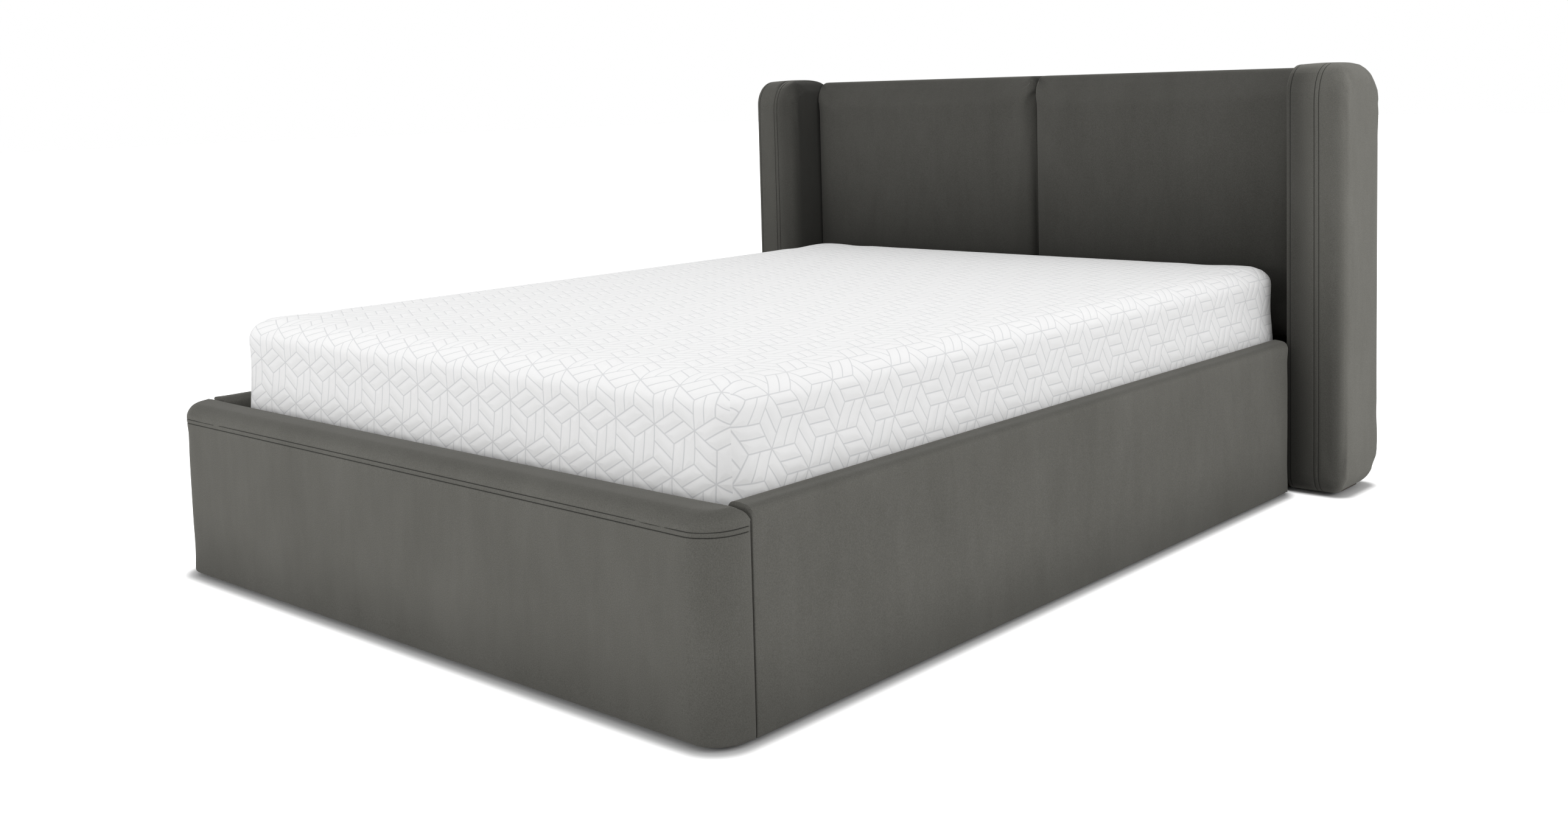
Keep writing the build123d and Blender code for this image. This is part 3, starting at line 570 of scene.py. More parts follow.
@dataclass(frozen=True)
class QuiltedKnit(Finish):
    """White knitted mattress cover, sewn in a lattice of split blocks on the piece's UV map."""

    cell: float = 0.094  # width of a block
    line: float = 0.0019  # half the width of a sewn line
    puff: float = 0.011  # from a sewn line to the block's full height
    threads: float = 560.0
    tone: float = 0.95  # brightness between the lines, then how far cloud, knit and line change it
    swings: tuple[float, float, float] = (0.12, 0.14, -0.72)

    def dress(self, n: Surface) -> None:
        """Join up the finish's nodes, as Finish.dress says."""
        uv = n.add("ShaderNodeUVMap", uv_map="cover").outputs[0]
        near = self._lattice(n, uv)
        puff = n.smooth(near, 0.0, self.puff)
        thread = n.math("SUBTRACT", 1.0, n.smooth(near, self.line * 0.25, self.line))
        knit = n.effect(EFFECTS.weave, Vector=uv, Threads=self.threads)
        cloud = n.noise(uv, 7.0, 3.0)
        cloudy, woven, sewn = self.swings
        tone = n.math("MULTIPLY", n.math("SUBTRACT", cloud, 0.5), cloudy)
        tone = n.math("MULTIPLY_ADD", n.math("SUBTRACT", knit.outputs["Shade"], 0.5), woven, tone)
        tone = n.math("MULTIPLY_ADD", thread, sewn, n.math("ADD", tone, self.tone))
        self.shades(n, tone, 0.0, 1.0)
        height = n.math("MULTIPLY_ADD", knit.outputs["Height"], 0.05, puff)
        height = n.math("MULTIPLY_ADD", cloud, 1.6, height)
        n.relief(height, 0.36, 0.0024)
        n.roughen(knit.outputs["Height"], 0.0, 1.0, 0.95, 0.82)
        n.look(Specular_IOR_Level=0.15, Sheen_Weight=0.25, Sheen_Roughness=0.6)

    def _nearest_cell(self, n: Nodes, uv: Socket) -> tuple:
        """Place within the nearest block of a lattice of six-sided blocks, one block wide.

        Args:
            n: the material's nodes.
            uv: the coordinates on the cover, in metres.

        Returns:
            The place's two coordinates, from the block's middle.
        """
        tall = math.sqrt(3.0)
        scaled = n.scale(uv, 1.0 / self.cell)
        repeat, half = (1.0, tall, 1.0), (0.5, tall / 2, 0.0)
        offsets = []
        for shift in (400.0, 400.5):
            moved = n.vector("ADD", scaled, (shift, shift * tall, 0.0))
            wrapped = n.vector("MODULO", moved.outputs[0], repeat)
            offsets.append(n.vector("SUBTRACT", wrapped.outputs[0], half).outputs[0])
        lengths = [n.vector("LENGTH", offset).outputs["Value"] for offset in offsets]
        nearer = n.math("LESS_THAN", *lengths)
        local = n.add("ShaderNodeMix", {0: nearer, 4: offsets[1], 5: offsets[0]}, data_type="VECTOR")
        parts = n.add("ShaderNodeSeparateXYZ", {0: local.outputs[1]})
        return parts.outputs[0], parts.outputs[1]

    def _lattice(self, n: Nodes, uv: Socket) -> Socket:
        """Distance in metres to the nearest sewn line.

        Args:
            n: the material's nodes.
            uv: the coordinates on the cover, in metres.

        Returns:
            The distance.
        """
        x, y = self._nearest_cell(n, uv)
        edge = 1 / math.sqrt(3.0)
        slant = n.math("ADD", n.math("MULTIPLY", n.math("ABSOLUTE", x), 0.5),
                       n.math("MULTIPLY", n.math("ABSOLUTE", y), math.sqrt(0.75)))
        nearest = n.math("SUBTRACT", 0.5, n.math("MAXIMUM", n.math("ABSOLUTE", x), slant))
        for degrees in (90.0, 210.0, 330.0):
            cosine, sine = math.cos(math.radians(degrees)), math.sin(math.radians(degrees))
            along = n.math("ADD", n.math("MULTIPLY", x, cosine), n.math("MULTIPLY", y, sine))
            aside = n.math("SUBTRACT", n.math("MULTIPLY", y, cosine), n.math("MULTIPLY", x, sine))
            for place, start in ((0.0, 0.0), (math.sqrt(3.0) / 4 * edge, -edge / 4)):
                away = n.math("ABSOLUTE", n.math("SUBTRACT", aside, place))
                behind = n.math("MULTIPLY", n.math("LESS_THAN", along, start), 9.0)
                nearest = n.math("MINIMUM", nearest, n.math("ADD", away, behind))
        return n.math("MULTIPLY", nearest, self.cell)


@dataclass(frozen=True)
class Wood(Finish):
    """Sawn timber, plywood or birch, with grain along one axis."""

    along: Point = (1.0, 1.0, 0.06)
    scale: float = 26.0
    rough: float = 0.62

    def dress(self, n: Surface) -> None:
        """Join up the finish's nodes, as Finish.dress says."""
        grain = n.effect(EFFECTS.grain, Vector=n.place, Along=self.along, Scale=self.scale)
        wear = n.effect(EFFECTS.wear, Vector=n.place, Amount=0.25)
        shade = n.math("MULTIPLY_ADD", grain.outputs["Pores"], 0.35, grain.outputs["Figure"])
        shade = n.math("ADD", shade, wear.outputs["Mask"])
        self.shades(n, shade, 0.35, 1.05)
        height = n.math("MULTIPLY_ADD", grain.outputs["Pores"], 0.6, grain.outputs["Figure"])
        n.relief(height, 0.3, 0.0005)
        n.roughen(grain.outputs["Pores"], 0.2, 0.8, self.rough - 0.1, self.rough + 0.15)


@dataclass(frozen=True)
class Metal(Finish):
    """Painted, zinc-plated or chromed steel, rubbed along its edges."""

    metallic: float = 1.0
    rough: float = 0.35
    speckle: float = 220.0
    rubbed: Colour = (0.45, 0.45, 0.46)

    def dress(self, n: Surface) -> None:
        """Join up the finish's nodes, as Finish.dress says."""
        spots = n.noise(n.place, self.speckle, 3.0)
        colour = self.shades(n, spots, 0.3, 0.7)
        wear = n.effect(EFFECTS.wear, Vector=n.place, Amount=0.8)
        dust = n.effect(EFFECTS.dust, Vector=n.place, Amount=0.12)
        mixed = n.blend(wear.outputs["Mask"], colour, (*self.rubbed, 1.0))
        rough = n.spread(spots, 0.3, 0.7, self.rough - 0.05, self.rough + 0.10)
        rough = n.math("ADD", rough, dust.outputs["Mask"])
        n.look(Base_Color=mixed, Roughness=rough, Metallic=self.metallic)
        n.relief(spots, 0.12, 0.0003)


@dataclass(frozen=True)
class Plastic(Finish):
    """Moulded plastic with a fine spark-eroded skin."""

    rough: float = 0.5

    def dress(self, n: Surface) -> None:
        """Join up the finish's nodes, as Finish.dress says."""
        skin, cloud = n.noise(n.place, 1600.0), n.noise(n.place, 30.0)
        wear = n.effect(EFFECTS.wear, Vector=n.place, Amount=0.4)
        self.shades(n, n.math("ADD", cloud, wear.outputs["Mask"]), 0.3, 1.0)
        n.roughen(skin, 0.3, 0.7, self.rough - 0.08, self.rough + 0.12)
        n.relief(skin, 0.25, 0.0002)


@dataclass(frozen=True)
class Webbing(Finish):
    """Woven strap or backing cloth."""

    threads: float = 640.0

    def dress(self, n: Surface) -> None:
        """Join up the finish's nodes, as Finish.dress says."""
        turned = n.add("ShaderNodeMapping", {"Vector": n.place, "Rotation": (math.pi / 2, 0.0, 0.0)})
        weave = n.effect(EFFECTS.weave, Vector=turned.outputs[0], Threads=self.threads)
        self.shades(n, weave.outputs["Shade"], 0.2, 0.9)
        n.relief(weave.outputs["Height"], 0.5, 0.0008)
        n.roughen(weave.outputs["Height"], 0.0, 1.0, 0.95, 0.75)


# ---------------------------------------------------------------- modelling

CLOTH = {
    "quality": 5, "mass": 0.2, "tension_stiffness": 12.0, "compression_stiffness": 12.0,
    "shear_stiffness": 8.0, "bending_stiffness": 1.5, "use_pressure": True,
}
CLOTH_FRAMES = (1, 20)
WELD = 0.0004  # points of a divided surface closer than this become one
SHARP = 62.0  # degrees from which an edge stays square when a piece is smoothed
SQUARE_ON = 0.9  # share of a face's normal along X from which the face counts as an end


class Bench:
    """Modelling steps, each done with Blender's own operators."""

    @staticmethod
    def only(piece: Piece) -> None:
        """Select this object alone and make it active.

        Args:
            piece: the object.
        """
        bpy.ops.object.select_all(action="DESELECT")
        piece.select_set(True)
        bpy.context.view_layer.objects.active = piece

    @staticmethod
    def block(name: str, low: Vector, high: Vector) -> Piece:
        """Start a piece from a block between two corners.

        Args:
            name: the piece's name.
            low: its lowest corner.
            high: its highest corner.

        Returns:
            The new piece, with its place in its mesh.
        """
        bpy.ops.object.select_all(action="DESELECT")
        bpy.ops.mesh.primitive_cube_add(size=1.0, location=(low + high) / 2, scale=high - low)
        piece = bpy.context.active_object
        piece.name = piece.data.name = name
        bpy.ops.object.transform_apply(location=True, rotation=True, scale=True)
        return piece

    @staticmethod
    def select(piece: Piece, mode: str, chosen: Callable[[object], bool]) -> None:
        """Go into edit mode with the edges or faces that pass a test selected.

        Args:
            piece: the piece.
            mode: EDGE or FACE.
            chosen: test of an edge or a face.
        """
        Bench.only(piece)
        bpy.ops.object.mode_set(mode="EDIT")
        bpy.ops.mesh.select_mode(type=mode)
        bpy.ops.mesh.select_all(action="DESELECT")
        mesh = bmesh.from_edit_mesh(piece.data)
        for part in mesh.edges if mode == "EDGE" else mesh.faces:
            part.select_set(bool(chosen(part)))
        bmesh.update_edit_mesh(piece.data)

    @staticmethod
    def bevel(piece: Piece, chosen: Test, radius: float, segments: int) -> None:
        """Round the edges whose two ends pass a test.

        Args:
            piece: the piece.
            chosen: test of an edge's two ends.
            radius: radius of the rounding.
            segments: how many strips the rounding has.
        """
        Bench.select(piece, "EDGE", lambda edge: chosen(edge.verts[0].co, edge.verts[1].co))
        bpy.ops.mesh.bevel(
            offset=radius, offset_type="OFFSET", segments=segments, profile=0.5, affect="EDGES",
            clamp_overlap=False,
        )
        bpy.ops.object.mode_set(mode="OBJECT")

    @staticmethod
    def slice(piece: Piece, axis: int, places: list[float]) -> None:
        """Cut the piece's surface along planes square to an axis.

        Args:
            piece: the piece.
            axis: 0, 1 or 2 for X, Y or Z.
            places: where the planes stand.
        """
        Bench.only(piece)
        bpy.ops.object.mode_set(mode="EDIT")
        normal = [0.0, 0.0, 0.0]
        normal[axis] = 1.0
        for place in places:
            bpy.ops.mesh.select_all(action="SELECT")
            bpy.ops.mesh.bisect(plane_co=[place * part for part in normal], plane_no=normal)
        bpy.ops.object.mode_set(mode="OBJECT")

    @staticmethod
    def grid(piece: Piece, pitch: float) -> None:
        """Divide the piece's surface into small squares.

        Args:
            piece: the piece.
            pitch: about how wide a square is.
        """
        co = Bench.points(piece)
        low, high = co.min(0), co.max(0)
        for axis in range(3):
            count = max(2, round((high[axis] - low[axis]) / pitch))
            step = (high[axis] - low[axis]) / count
            Bench.slice(piece, axis, [low[axis] + step * number for number in range(1, count)])
        Bench.only(piece)
        bpy.ops.object.mode_set(mode="EDIT")
        bpy.ops.mesh.select_all(action="SELECT")
        bpy.ops.mesh.remove_doubles(threshold=WELD)
        bpy.ops.mesh.normals_make_consistent(inside=False)
        bpy.ops.object.mode_set(mode="OBJECT")

    @staticmethod
    def points(piece: Piece) -> np.ndarray:
        """Read where the piece's vertices stand.

        Args:
            piece: the piece.

        Returns:
            A row for each vertex.
        """
        co = np.zeros(len(piece.data.vertices) * 3)
        piece.data.vertices.foreach_get("co", co)
        return co.reshape(-1, 3)

    @staticmethod
    def set_points(piece: Piece, co: np.ndarray) -> None:
        """Move the piece's vertices to the places in the array."""
        piece.data.vertices.foreach_set("co", co.ravel())
        piece.data.update()

    @staticmethod
    def normals(piece: Piece) -> np.ndarray:
        """Read the piece's vertex normals.

        Args:
            piece: the piece.

        Returns:
            A row for each vertex.
        """
        normal = np.zeros(len(piece.data.vertices) * 3)
        piece.data.vertices.foreach_get("normal", normal)
        return normal.reshape(-1, 3)

    @staticmethod
    def apply(piece: Piece, modifier: bpy.types.Modifier) -> None:
        """Apply a modifier to the piece's mesh."""
        Bench.only(piece)
        bpy.ops.object.modifier_apply(modifier=modifier.name)

    @staticmethod
    def subdivide(piece: Piece, levels: int = 1) -> None:
        """Smooth the piece with an applied subdivision surface, its square edges kept.

        Args:
            piece: the piece.
            levels: how often it is divided.
        """
        Bench.only(piece)
        bpy.ops.object.mode_set(mode="EDIT")
        bpy.ops.mesh.select_mode(type="EDGE")
        bpy.ops.mesh.select_all(action="DESELECT")
        bpy.ops.mesh.edges_select_sharp(sharpness=math.radians(SHARP))
        bpy.ops.transform.edge_crease(value=1.0)
        bpy.ops.object.mode_set(mode="OBJECT")
        modifier = piece.modifiers.new("smooth", "SUBSURF")
        modifier.levels = modifier.render_levels = levels
        Bench.apply(piece, modifier)

    @staticmethod
    def hollow(piece: Piece, boxes: list[tuple[Vector, Vector]]) -> None:
        """Cut blocks out of the piece, where its panel or frame sits.

        Args:
            piece: the piece.
            boxes: lowest and highest corner of each block.
        """
        for low, high in boxes:
            cutter = Bench.block("cutter", low, high)
            modifier = piece.modifiers.new("hollow", "BOOLEAN")
            modifier.operation, modifier.solver, modifier.object = "DIFFERENCE", "EXACT", cutter
            Bench.apply(piece, modifier)
            bpy.data.objects.remove(cutter)

    @staticmethod
    def shade(piece: Piece, degrees: float = 40.0) -> None:
        """Shade the piece smooth, except over sharp edges.

        Args:
            piece: the piece.
            degrees: the angle from which an edge counts as sharp.
        """
        Bench.only(piece)
        bpy.ops.object.shade_smooth_by_angle(angle=math.radians(degrees))

    @staticmethod
    def swell(piece: Piece, held: Share, pressure: float, cap: float) -> None:
        """Fill the piece by cloth simulation with air pressure, and keep the result.

        Args:
            piece: a closed mesh.
            held: share from 0 to 1 that each point is held in place, from the points.
            pressure: air pressure.
            cap: the furthest that a point may move.
        """
        before = Bench.points(piece)
        share = held(before)
        group = piece.vertex_groups.new(name="held")
        for index, value in enumerate(share):
            if value > 0:
                group.add([index], float(value), "REPLACE")
        modifier = piece.modifiers.new("fill", "CLOTH")
        for name, value in CLOTH.items():
            setattr(modifier.settings, name, value)
        modifier.settings.uniform_pressure_force = pressure
        modifier.settings.effector_weights.gravity = 0.0
        modifier.settings.vertex_group_mass = "held"
        modifier.collision_settings.use_collision = False
        modifier.point_cache.frame_start, modifier.point_cache.frame_end = CLOTH_FRAMES
        scene = bpy.context.scene
        for number in range(CLOTH_FRAMES[0], CLOTH_FRAMES[1] + 1):
            scene.frame_set(number)
        Bench.apply(piece, modifier)
        scene.frame_set(CLOTH_FRAMES[0])
        piece.vertex_groups.clear()
        moved = Bench.points(piece) - before
        length = np.linalg.norm(moved, axis=1, keepdims=True)
        Bench.set_points(piece, before + moved * np.minimum(1.0, cap / np.maximum(length, TINY)))
        log.info("%s swelled by up to %.1f mm", piece.name, 1000 * float(length.max()))

    @staticmethod
    def fill(
        piece: Piece, held: Share, pressure: float, cap: float, pitch: float = MESH_PITCH,
    ) -> None:
        """Divide the piece's surface, fill it and smooth it.

        Args:
            piece: a closed mesh.
            held: share from 0 to 1 that each point is held in place, from the points.
            pressure: air pressure.
            cap: the furthest that a point may move.
            pitch: about how wide a square of the surface is.
        """
        Bench.grid(piece, pitch)
        Bench.swell(piece, held, pressure, cap)
        Bench.subdivide(piece)

    @staticmethod
    def finish(
        piece: Piece, material: Material, body: str, nodes: list[str], slot: str | None,
    ) -> None:
        """Give a finished piece its material, its body and the nodes that it stands for.

        Args:
            piece: the piece.
            material: its finish.
            body: the body that it moves with.
            nodes: the nodes that it takes the place of.
            slot: not used.
        """
        piece.data.materials.clear()
        piece.data.materials.append(material)
        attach(piece, body)
        if nodes:
            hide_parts(*nodes)
        log.info("%s: %d faces", piece.name, len(piece.data.polygons))


@dataclass
class Seam:
    """A sewn line where a plane meets a cover, pressed in, with its stitches."""

    axis: Across
    place: float
    keep: Share
    order: Share
    closed: bool
    width: float = 0.0019
    depth: float = 0.0013
    pitch: float = 0.0052
    above: float = 0.0004  # how far the stitches lie above the bottom of the line
    path: np.ndarray = field(default_factory=lambda: np.zeros((0, 3)))

    def press(self, piece: Piece) -> None:
        """Cut the line into the cover's mesh and press it in.

        Args:
            piece: the cover.
        """
        axis = self.axis.value
        Bench.slice(piece, axis, [self.place - self.width, self.place, self.place + self.width])
        co, normal = Bench.points(piece), Bench.normals(piece)
        chosen = (np.abs(co[:, axis] - self.place) < ON_PLANE) & self.keep(co)
        # Mark the line in the seam attribute, where the velvet paints shade into the groove.
        attributes = piece.data.attributes
        attribute = attributes.get("seam") or attributes.new("seam", "FLOAT", "POINT")
        marked = np.zeros(len(co), np.float32)
        attribute.data.foreach_get("value", marked)
        marked[chosen] = 1.0
        attribute.data.foreach_set("value", marked)
        co[chosen] -= normal[chosen] * self.depth
        line = co[chosen] + normal[chosen] * self.above
        self.path = line[np.argsort(self.order(line))]
        Bench.set_points(piece, co)

    def thread(self, name: str, stitch: "Stitch") -> Piece:
        """Lay stitches along the line.

        Args:
            name: the new piece's name.
            stitch: how a stitch is made.

        Returns:
            The stitches as one piece.
        """
        return stitch.along(name, self.path, self.closed, self.pitch)


@dataclass
class Stitch:
    """One stitch of sewing thread, copied along a seam."""

    length: float = 0.0040
    radius: float = 0.00045

    def along(self, name: str, path: np.ndarray, closed: bool, pitch: float) -> Piece:
        """Copy the stitch along a path.

        Args:
            name: the piece's name.
            path: the points that it follows.
            closed: whether the path comes back to its start.
            pitch: from one stitch to the next.

        Returns:
            The row of stitches.
        """
        points = np.vstack([path, path[:1]]) if closed else path
        steps = np.linalg.norm(np.diff(points, axis=0), axis=1)
        points = points[np.concatenate([[True], steps > SAME])]
        curve = bpy.data.curves.new(name + "_line", "CURVE")
        curve.dimensions = "3D"
        spline = curve.splines.new("POLY")
        spline.points.add(len(points) - 1)
        for target, place in zip(spline.points, points):
            target.co = (*place, 1.0)
        guide = bpy.data.objects.new(name + "_line", curve)
        bpy.context.scene.collection.objects.link(guide)
        bpy.ops.object.select_all(action="DESELECT")
        bpy.ops.mesh.primitive_cylinder_add(
            vertices=6, radius=self.radius, depth=self.length * 0.55, rotation=(0.0, math.pi / 2, 0.0),
            location=(pitch / 2, 0.0, 0.0),
        )
        piece = bpy.context.active_object
        piece.name = piece.data.name = name
        bpy.ops.object.transform_apply(location=True, rotation=True, scale=True)
        Bench.select(piece, "FACE", lambda face: abs(face.normal.x) > SQUARE_ON)
        bpy.ops.mesh.inset(thickness=self.radius * 0.5, depth=self.length * 0.2, use_individual=True)
        bpy.ops.object.mode_set(mode="OBJECT")
        row = piece.modifiers.new("row", "ARRAY")
        row.fit_type = "FIT_CURVE"
        row.curve = guide
        row.use_relative_offset = False
        row.use_constant_offset = True
        row.constant_offset_displace = (pitch, 0.0, 0.0)
        Bench.apply(piece, row)
        bend = piece.modifiers.new("bend", "CURVE")
        bend.object = guide
        Bench.apply(piece, bend)
        bpy.data.objects.remove(guide)
        Bench.shade(piece, 60.0)
        return piece


# ---------------------------------------------------------------- sub-assemblies


@dataclass
class Footboard:
    """Padded footboard with rounded front corners and two rows of stitching."""

    velvet: Material
    thread: Material
    corner: float = 0.058
    top_round: float = 0.030
    bottom_round: float = 0.006
    joint_round: float = 0.004
    rows: tuple[float, float] = (0.347, 0.3385)
    held: float = 0.03  # depth over which its back is held, as it is filled
    filling: tuple[float, float] = (3.0, 0.003)  # pressure, and the furthest that it may swell

    def build(self) -> None:
        """Model the cover and its stitching."""
        low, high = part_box("footboard_cover")
        piece = Bench.block("footboard_cover_velvet", low, high)
        front, back = within(y=low.y), within(y=high.y)
        top, bottom = within(z=high.z), within(z=low.z)
        Bench.bevel(piece, lambda *ends: upright(*ends) and front(*ends), self.corner, 10)
        Bench.bevel(piece, top, self.top_round, 7)
        Bench.bevel(piece, lambda *ends: upright(*ends) and back(*ends), self.joint_round, 3)
        Bench.bevel(piece, lambda *ends: bottom(*ends) and not back(*ends), self.bottom_round, 3)
        Bench.fill(piece, lambda co: np.clip((co[:, 1] - high.y) / self.held + 1, 0, 1), *self.filling)

        def shown(co: np.ndarray) -> np.ndarray:
            """Pick the points on the front and on the two ends.

            Args:
                co: the points.

            Returns:
                True for each of those.
            """
            ends = np.abs(co[:, 0]) > high.x - 0.02
            ahead = co[:, 1] < (low.y + high.y) / 2 + 0.02
            return (co[:, 1] < high.y - 0.004) & (ends | ahead)

        for number, place in enumerate(self.rows):
            seam = Seam(
                Across.Z, place, shown,
                lambda line: np.arctan2(line[:, 1] - high.y - 0.5, line[:, 0]), False,
            )
            seam.press(piece)
            row = seam.thread(f"footboard_stitches_{number + 1}", Stitch())
            Bench.finish(row, self.thread, "base", [], "velvet")
        Bench.hollow(piece, [self._cavity(low)])
        Bench.shade(piece)
        Bench.finish(piece, self.velvet, "base", ["footboard_cover"], "velvet")

    @staticmethod
    def _cavity(low: Vector) -> tuple[Vector, Vector]:
        """The space of the panel inside the cover."""
        start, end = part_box("footboard_panel")
        return Vector((start.x, start.y, low.z - 0.01)), end


@dataclass
class SideRail:
    """Padded side rail with a soft top edge."""

    side: Side
    velvet: Material
    top_round: float = 0.015
    bottom_round: float = 0.004
    joint_round: float = 0.003
    end_round: float = 0.028
    free: float = 0.03  # depth of the outer layer that may swell
    filling: tuple[float, float] = (3.0, 0.0025)

    def build(self) -> None:
        """Model the cover."""
        node = f"side_rail_cover_{self.side.word}"
        low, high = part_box(node)
        outer = high.x if self.side is Side.RIGHT else low.x
        piece = Bench.block(f"{node}_velvet", low, high)
        top, front = within(z=high.z), within(y=low.y)
        Bench.bevel(piece, within(x=outer, y=high.y), self.end_round, 8)
        Bench.bevel(piece, lambda *ends: top(*ends) and not front(*ends), self.top_round, 5)
        joint = within(x=outer, y=low.y)
        Bench.bevel(piece, lambda *ends: upright(*ends) and joint(*ends), self.joint_round, 3)
        Bench.bevel(piece, within(x=outer, z=low.z), self.bottom_round, 3)
        Bench.fill(piece, lambda co: (np.abs(co[:, 0] - outer) > self.free).astype(float), *self.filling)
        start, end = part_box(f"side_rail_panel_{self.side.word}")
        Bench.hollow(piece, [(
            Vector((start.x, low.y - 0.01, low.z - 0.01)), Vector((end.x, high.y - 0.02, end.z)),
        )])
        Bench.shade(piece)
        Bench.finish(piece, self.velvet, "base", [node], "velvet")


@dataclass
class Wing:
    """Padded wing, rounded at its four corners, with two rows of stitching round its middle."""

    side: Side
    velvet: Material
    thread: Material
    radii: tuple[float, float, float, float] = (0.072, 0.100, 0.040, 0.092)
    soft_round: float = 0.034
    tight_round: float = 0.004
    crease: float = 0.0105
    rows: tuple[float, float] = (0.0710, 0.0820)
    held: float = 0.012  # depth over which its -X face is held, as it is filled
    filling: tuple[float, float] = (3.0, 0.003)

    def build(self) -> None:
        """Model the cover and its stitching."""
        node = f"wing_cover_{self.side.word}"
        low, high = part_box(node)
        piece = Bench.block(f"{node}_velvet", low, high)
        corners = (
            (low.y, high.z, self.radii[0]), (high.y, high.z, self.radii[1]),
            (low.y, low.z, self.radii[2]), (high.y, low.z, self.radii[3]),
        )
        for y, z, radius in corners:
            Bench.bevel(piece, within(y=y, z=z), radius, 10)
        Bench.bevel(piece, within(x=high.x), self.soft_round, 8)
        Bench.bevel(piece, within(x=low.x), self.tight_round, 3)
        Bench.fill(piece, lambda co: np.clip((low.x - co[:, 0]) / self.held + 1, 0, 1), *self.filling)
        centre = (low + high) / 2
        whole = {
            "keep": lambda co: np.ones(len(co), bool),
            "order": lambda line: np.arctan2(line[:, 2] - centre.z, line[:, 1] - centre.y),
            "closed": True,
        }
        # The crease is pressed in and, through the seam mark, painted dark as shade.
        Seam(Across.X, low.x + self.crease, **whole, width=0.0025, depth=0.0009).press(piece)
        for number, inset in enumerate(self.rows):
            seam = Seam(Across.X, low.x + inset, **whole)
            seam.press(piece)
            row = seam.thread(f"wing_stitches_{self.side.word}_{number + 1}", Stitch())
            Bench.finish(row, self.thread, "base", [], "velvet")
        start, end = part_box(f"wing_frame_{self.side.word}")
        foot = 0.010 + max(self.radii[2:])
        Bench.hollow(piece, [
            (Vector((start.x, start.y, low.z + self.radii[3])), end),
            (Vector((start.x, low.y + self.radii[2], low.z - 0.01)),
             Vector((end.x, high.y - self.radii[3], low.z + foot))),
        ])
        Bench.shade(piece)
        Bench.finish(piece, self.velvet, "base", [node], "velvet")


@dataclass
class HeadboardPad:
    """Soft pad of one half of the headboard."""

    side: Side
    velvet: Material
    top_round: float = 0.052
    tight_round: float = 0.005
    soft_round: float = 0.034
    foot: float = 0.360
    free: float = 0.02  # depth of the front layer that may swell
    filling: tuple[float, float] = (4.0, 0.008)

    def build(self) -> None:
        """Model the pad, down to its foot just above the side rails' panels."""
        node = f"headboard_pad_{self.side.word}"
        low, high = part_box(node)
        low.z = self.foot
        piece = Bench.block(f"{node}_velvet", low, high)
        Bench.bevel(piece, within(y=low.y, z=high.z), self.top_round, 10)
        foot, back = within(z=low.z), within(y=high.y)
        for x, radius, segments in ((low.x, self.tight_round, 3), (high.x, self.soft_round, 8)):
            side = within(x=x)
            Bench.bevel(
                piece, lambda *ends: side(*ends) and not foot(*ends) and not back(*ends),
                radius, segments,
            )
        Bench.fill(piece, lambda co: np.clip((co[:, 1] - low.y) / self.free - 1, 0, 1), *self.filling)
        start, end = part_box("headboard_frame")
        Bench.hollow(piece, [(
            Vector((low.x - 0.02, start.y, low.z - 0.02)), Vector((high.x + 0.02, end.y + 0.02, end.z)),
        )])
        Bench.shade(piece)
        Bench.finish(piece, self.velvet, "base", [node], "velvet")


@dataclass
class HeadboardBack:
    """Thinly padded back of the headboard."""

    velvet: Material
    top_round: float = 0.009
    free: float = 0.004  # depth of the outer layer that may swell
    filling: tuple[float, float, float] = (2.0, 0.002, 0.03)  # and the width of the surface's squares

    def build(self) -> None:
        """Model the back."""
        low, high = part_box("headboard_back")
        piece = Bench.block("headboard_back_velvet", low, high)
        Bench.bevel(piece, within(y=high.y, z=high.z), self.top_round, 4)
        Bench.fill(piece, lambda co: (co[:, 1] < high.y - self.free).astype(float), *self.filling)
        Bench.shade(piece)
        Bench.finish(piece, self.velvet, "base", ["headboard_back"], "velvet")


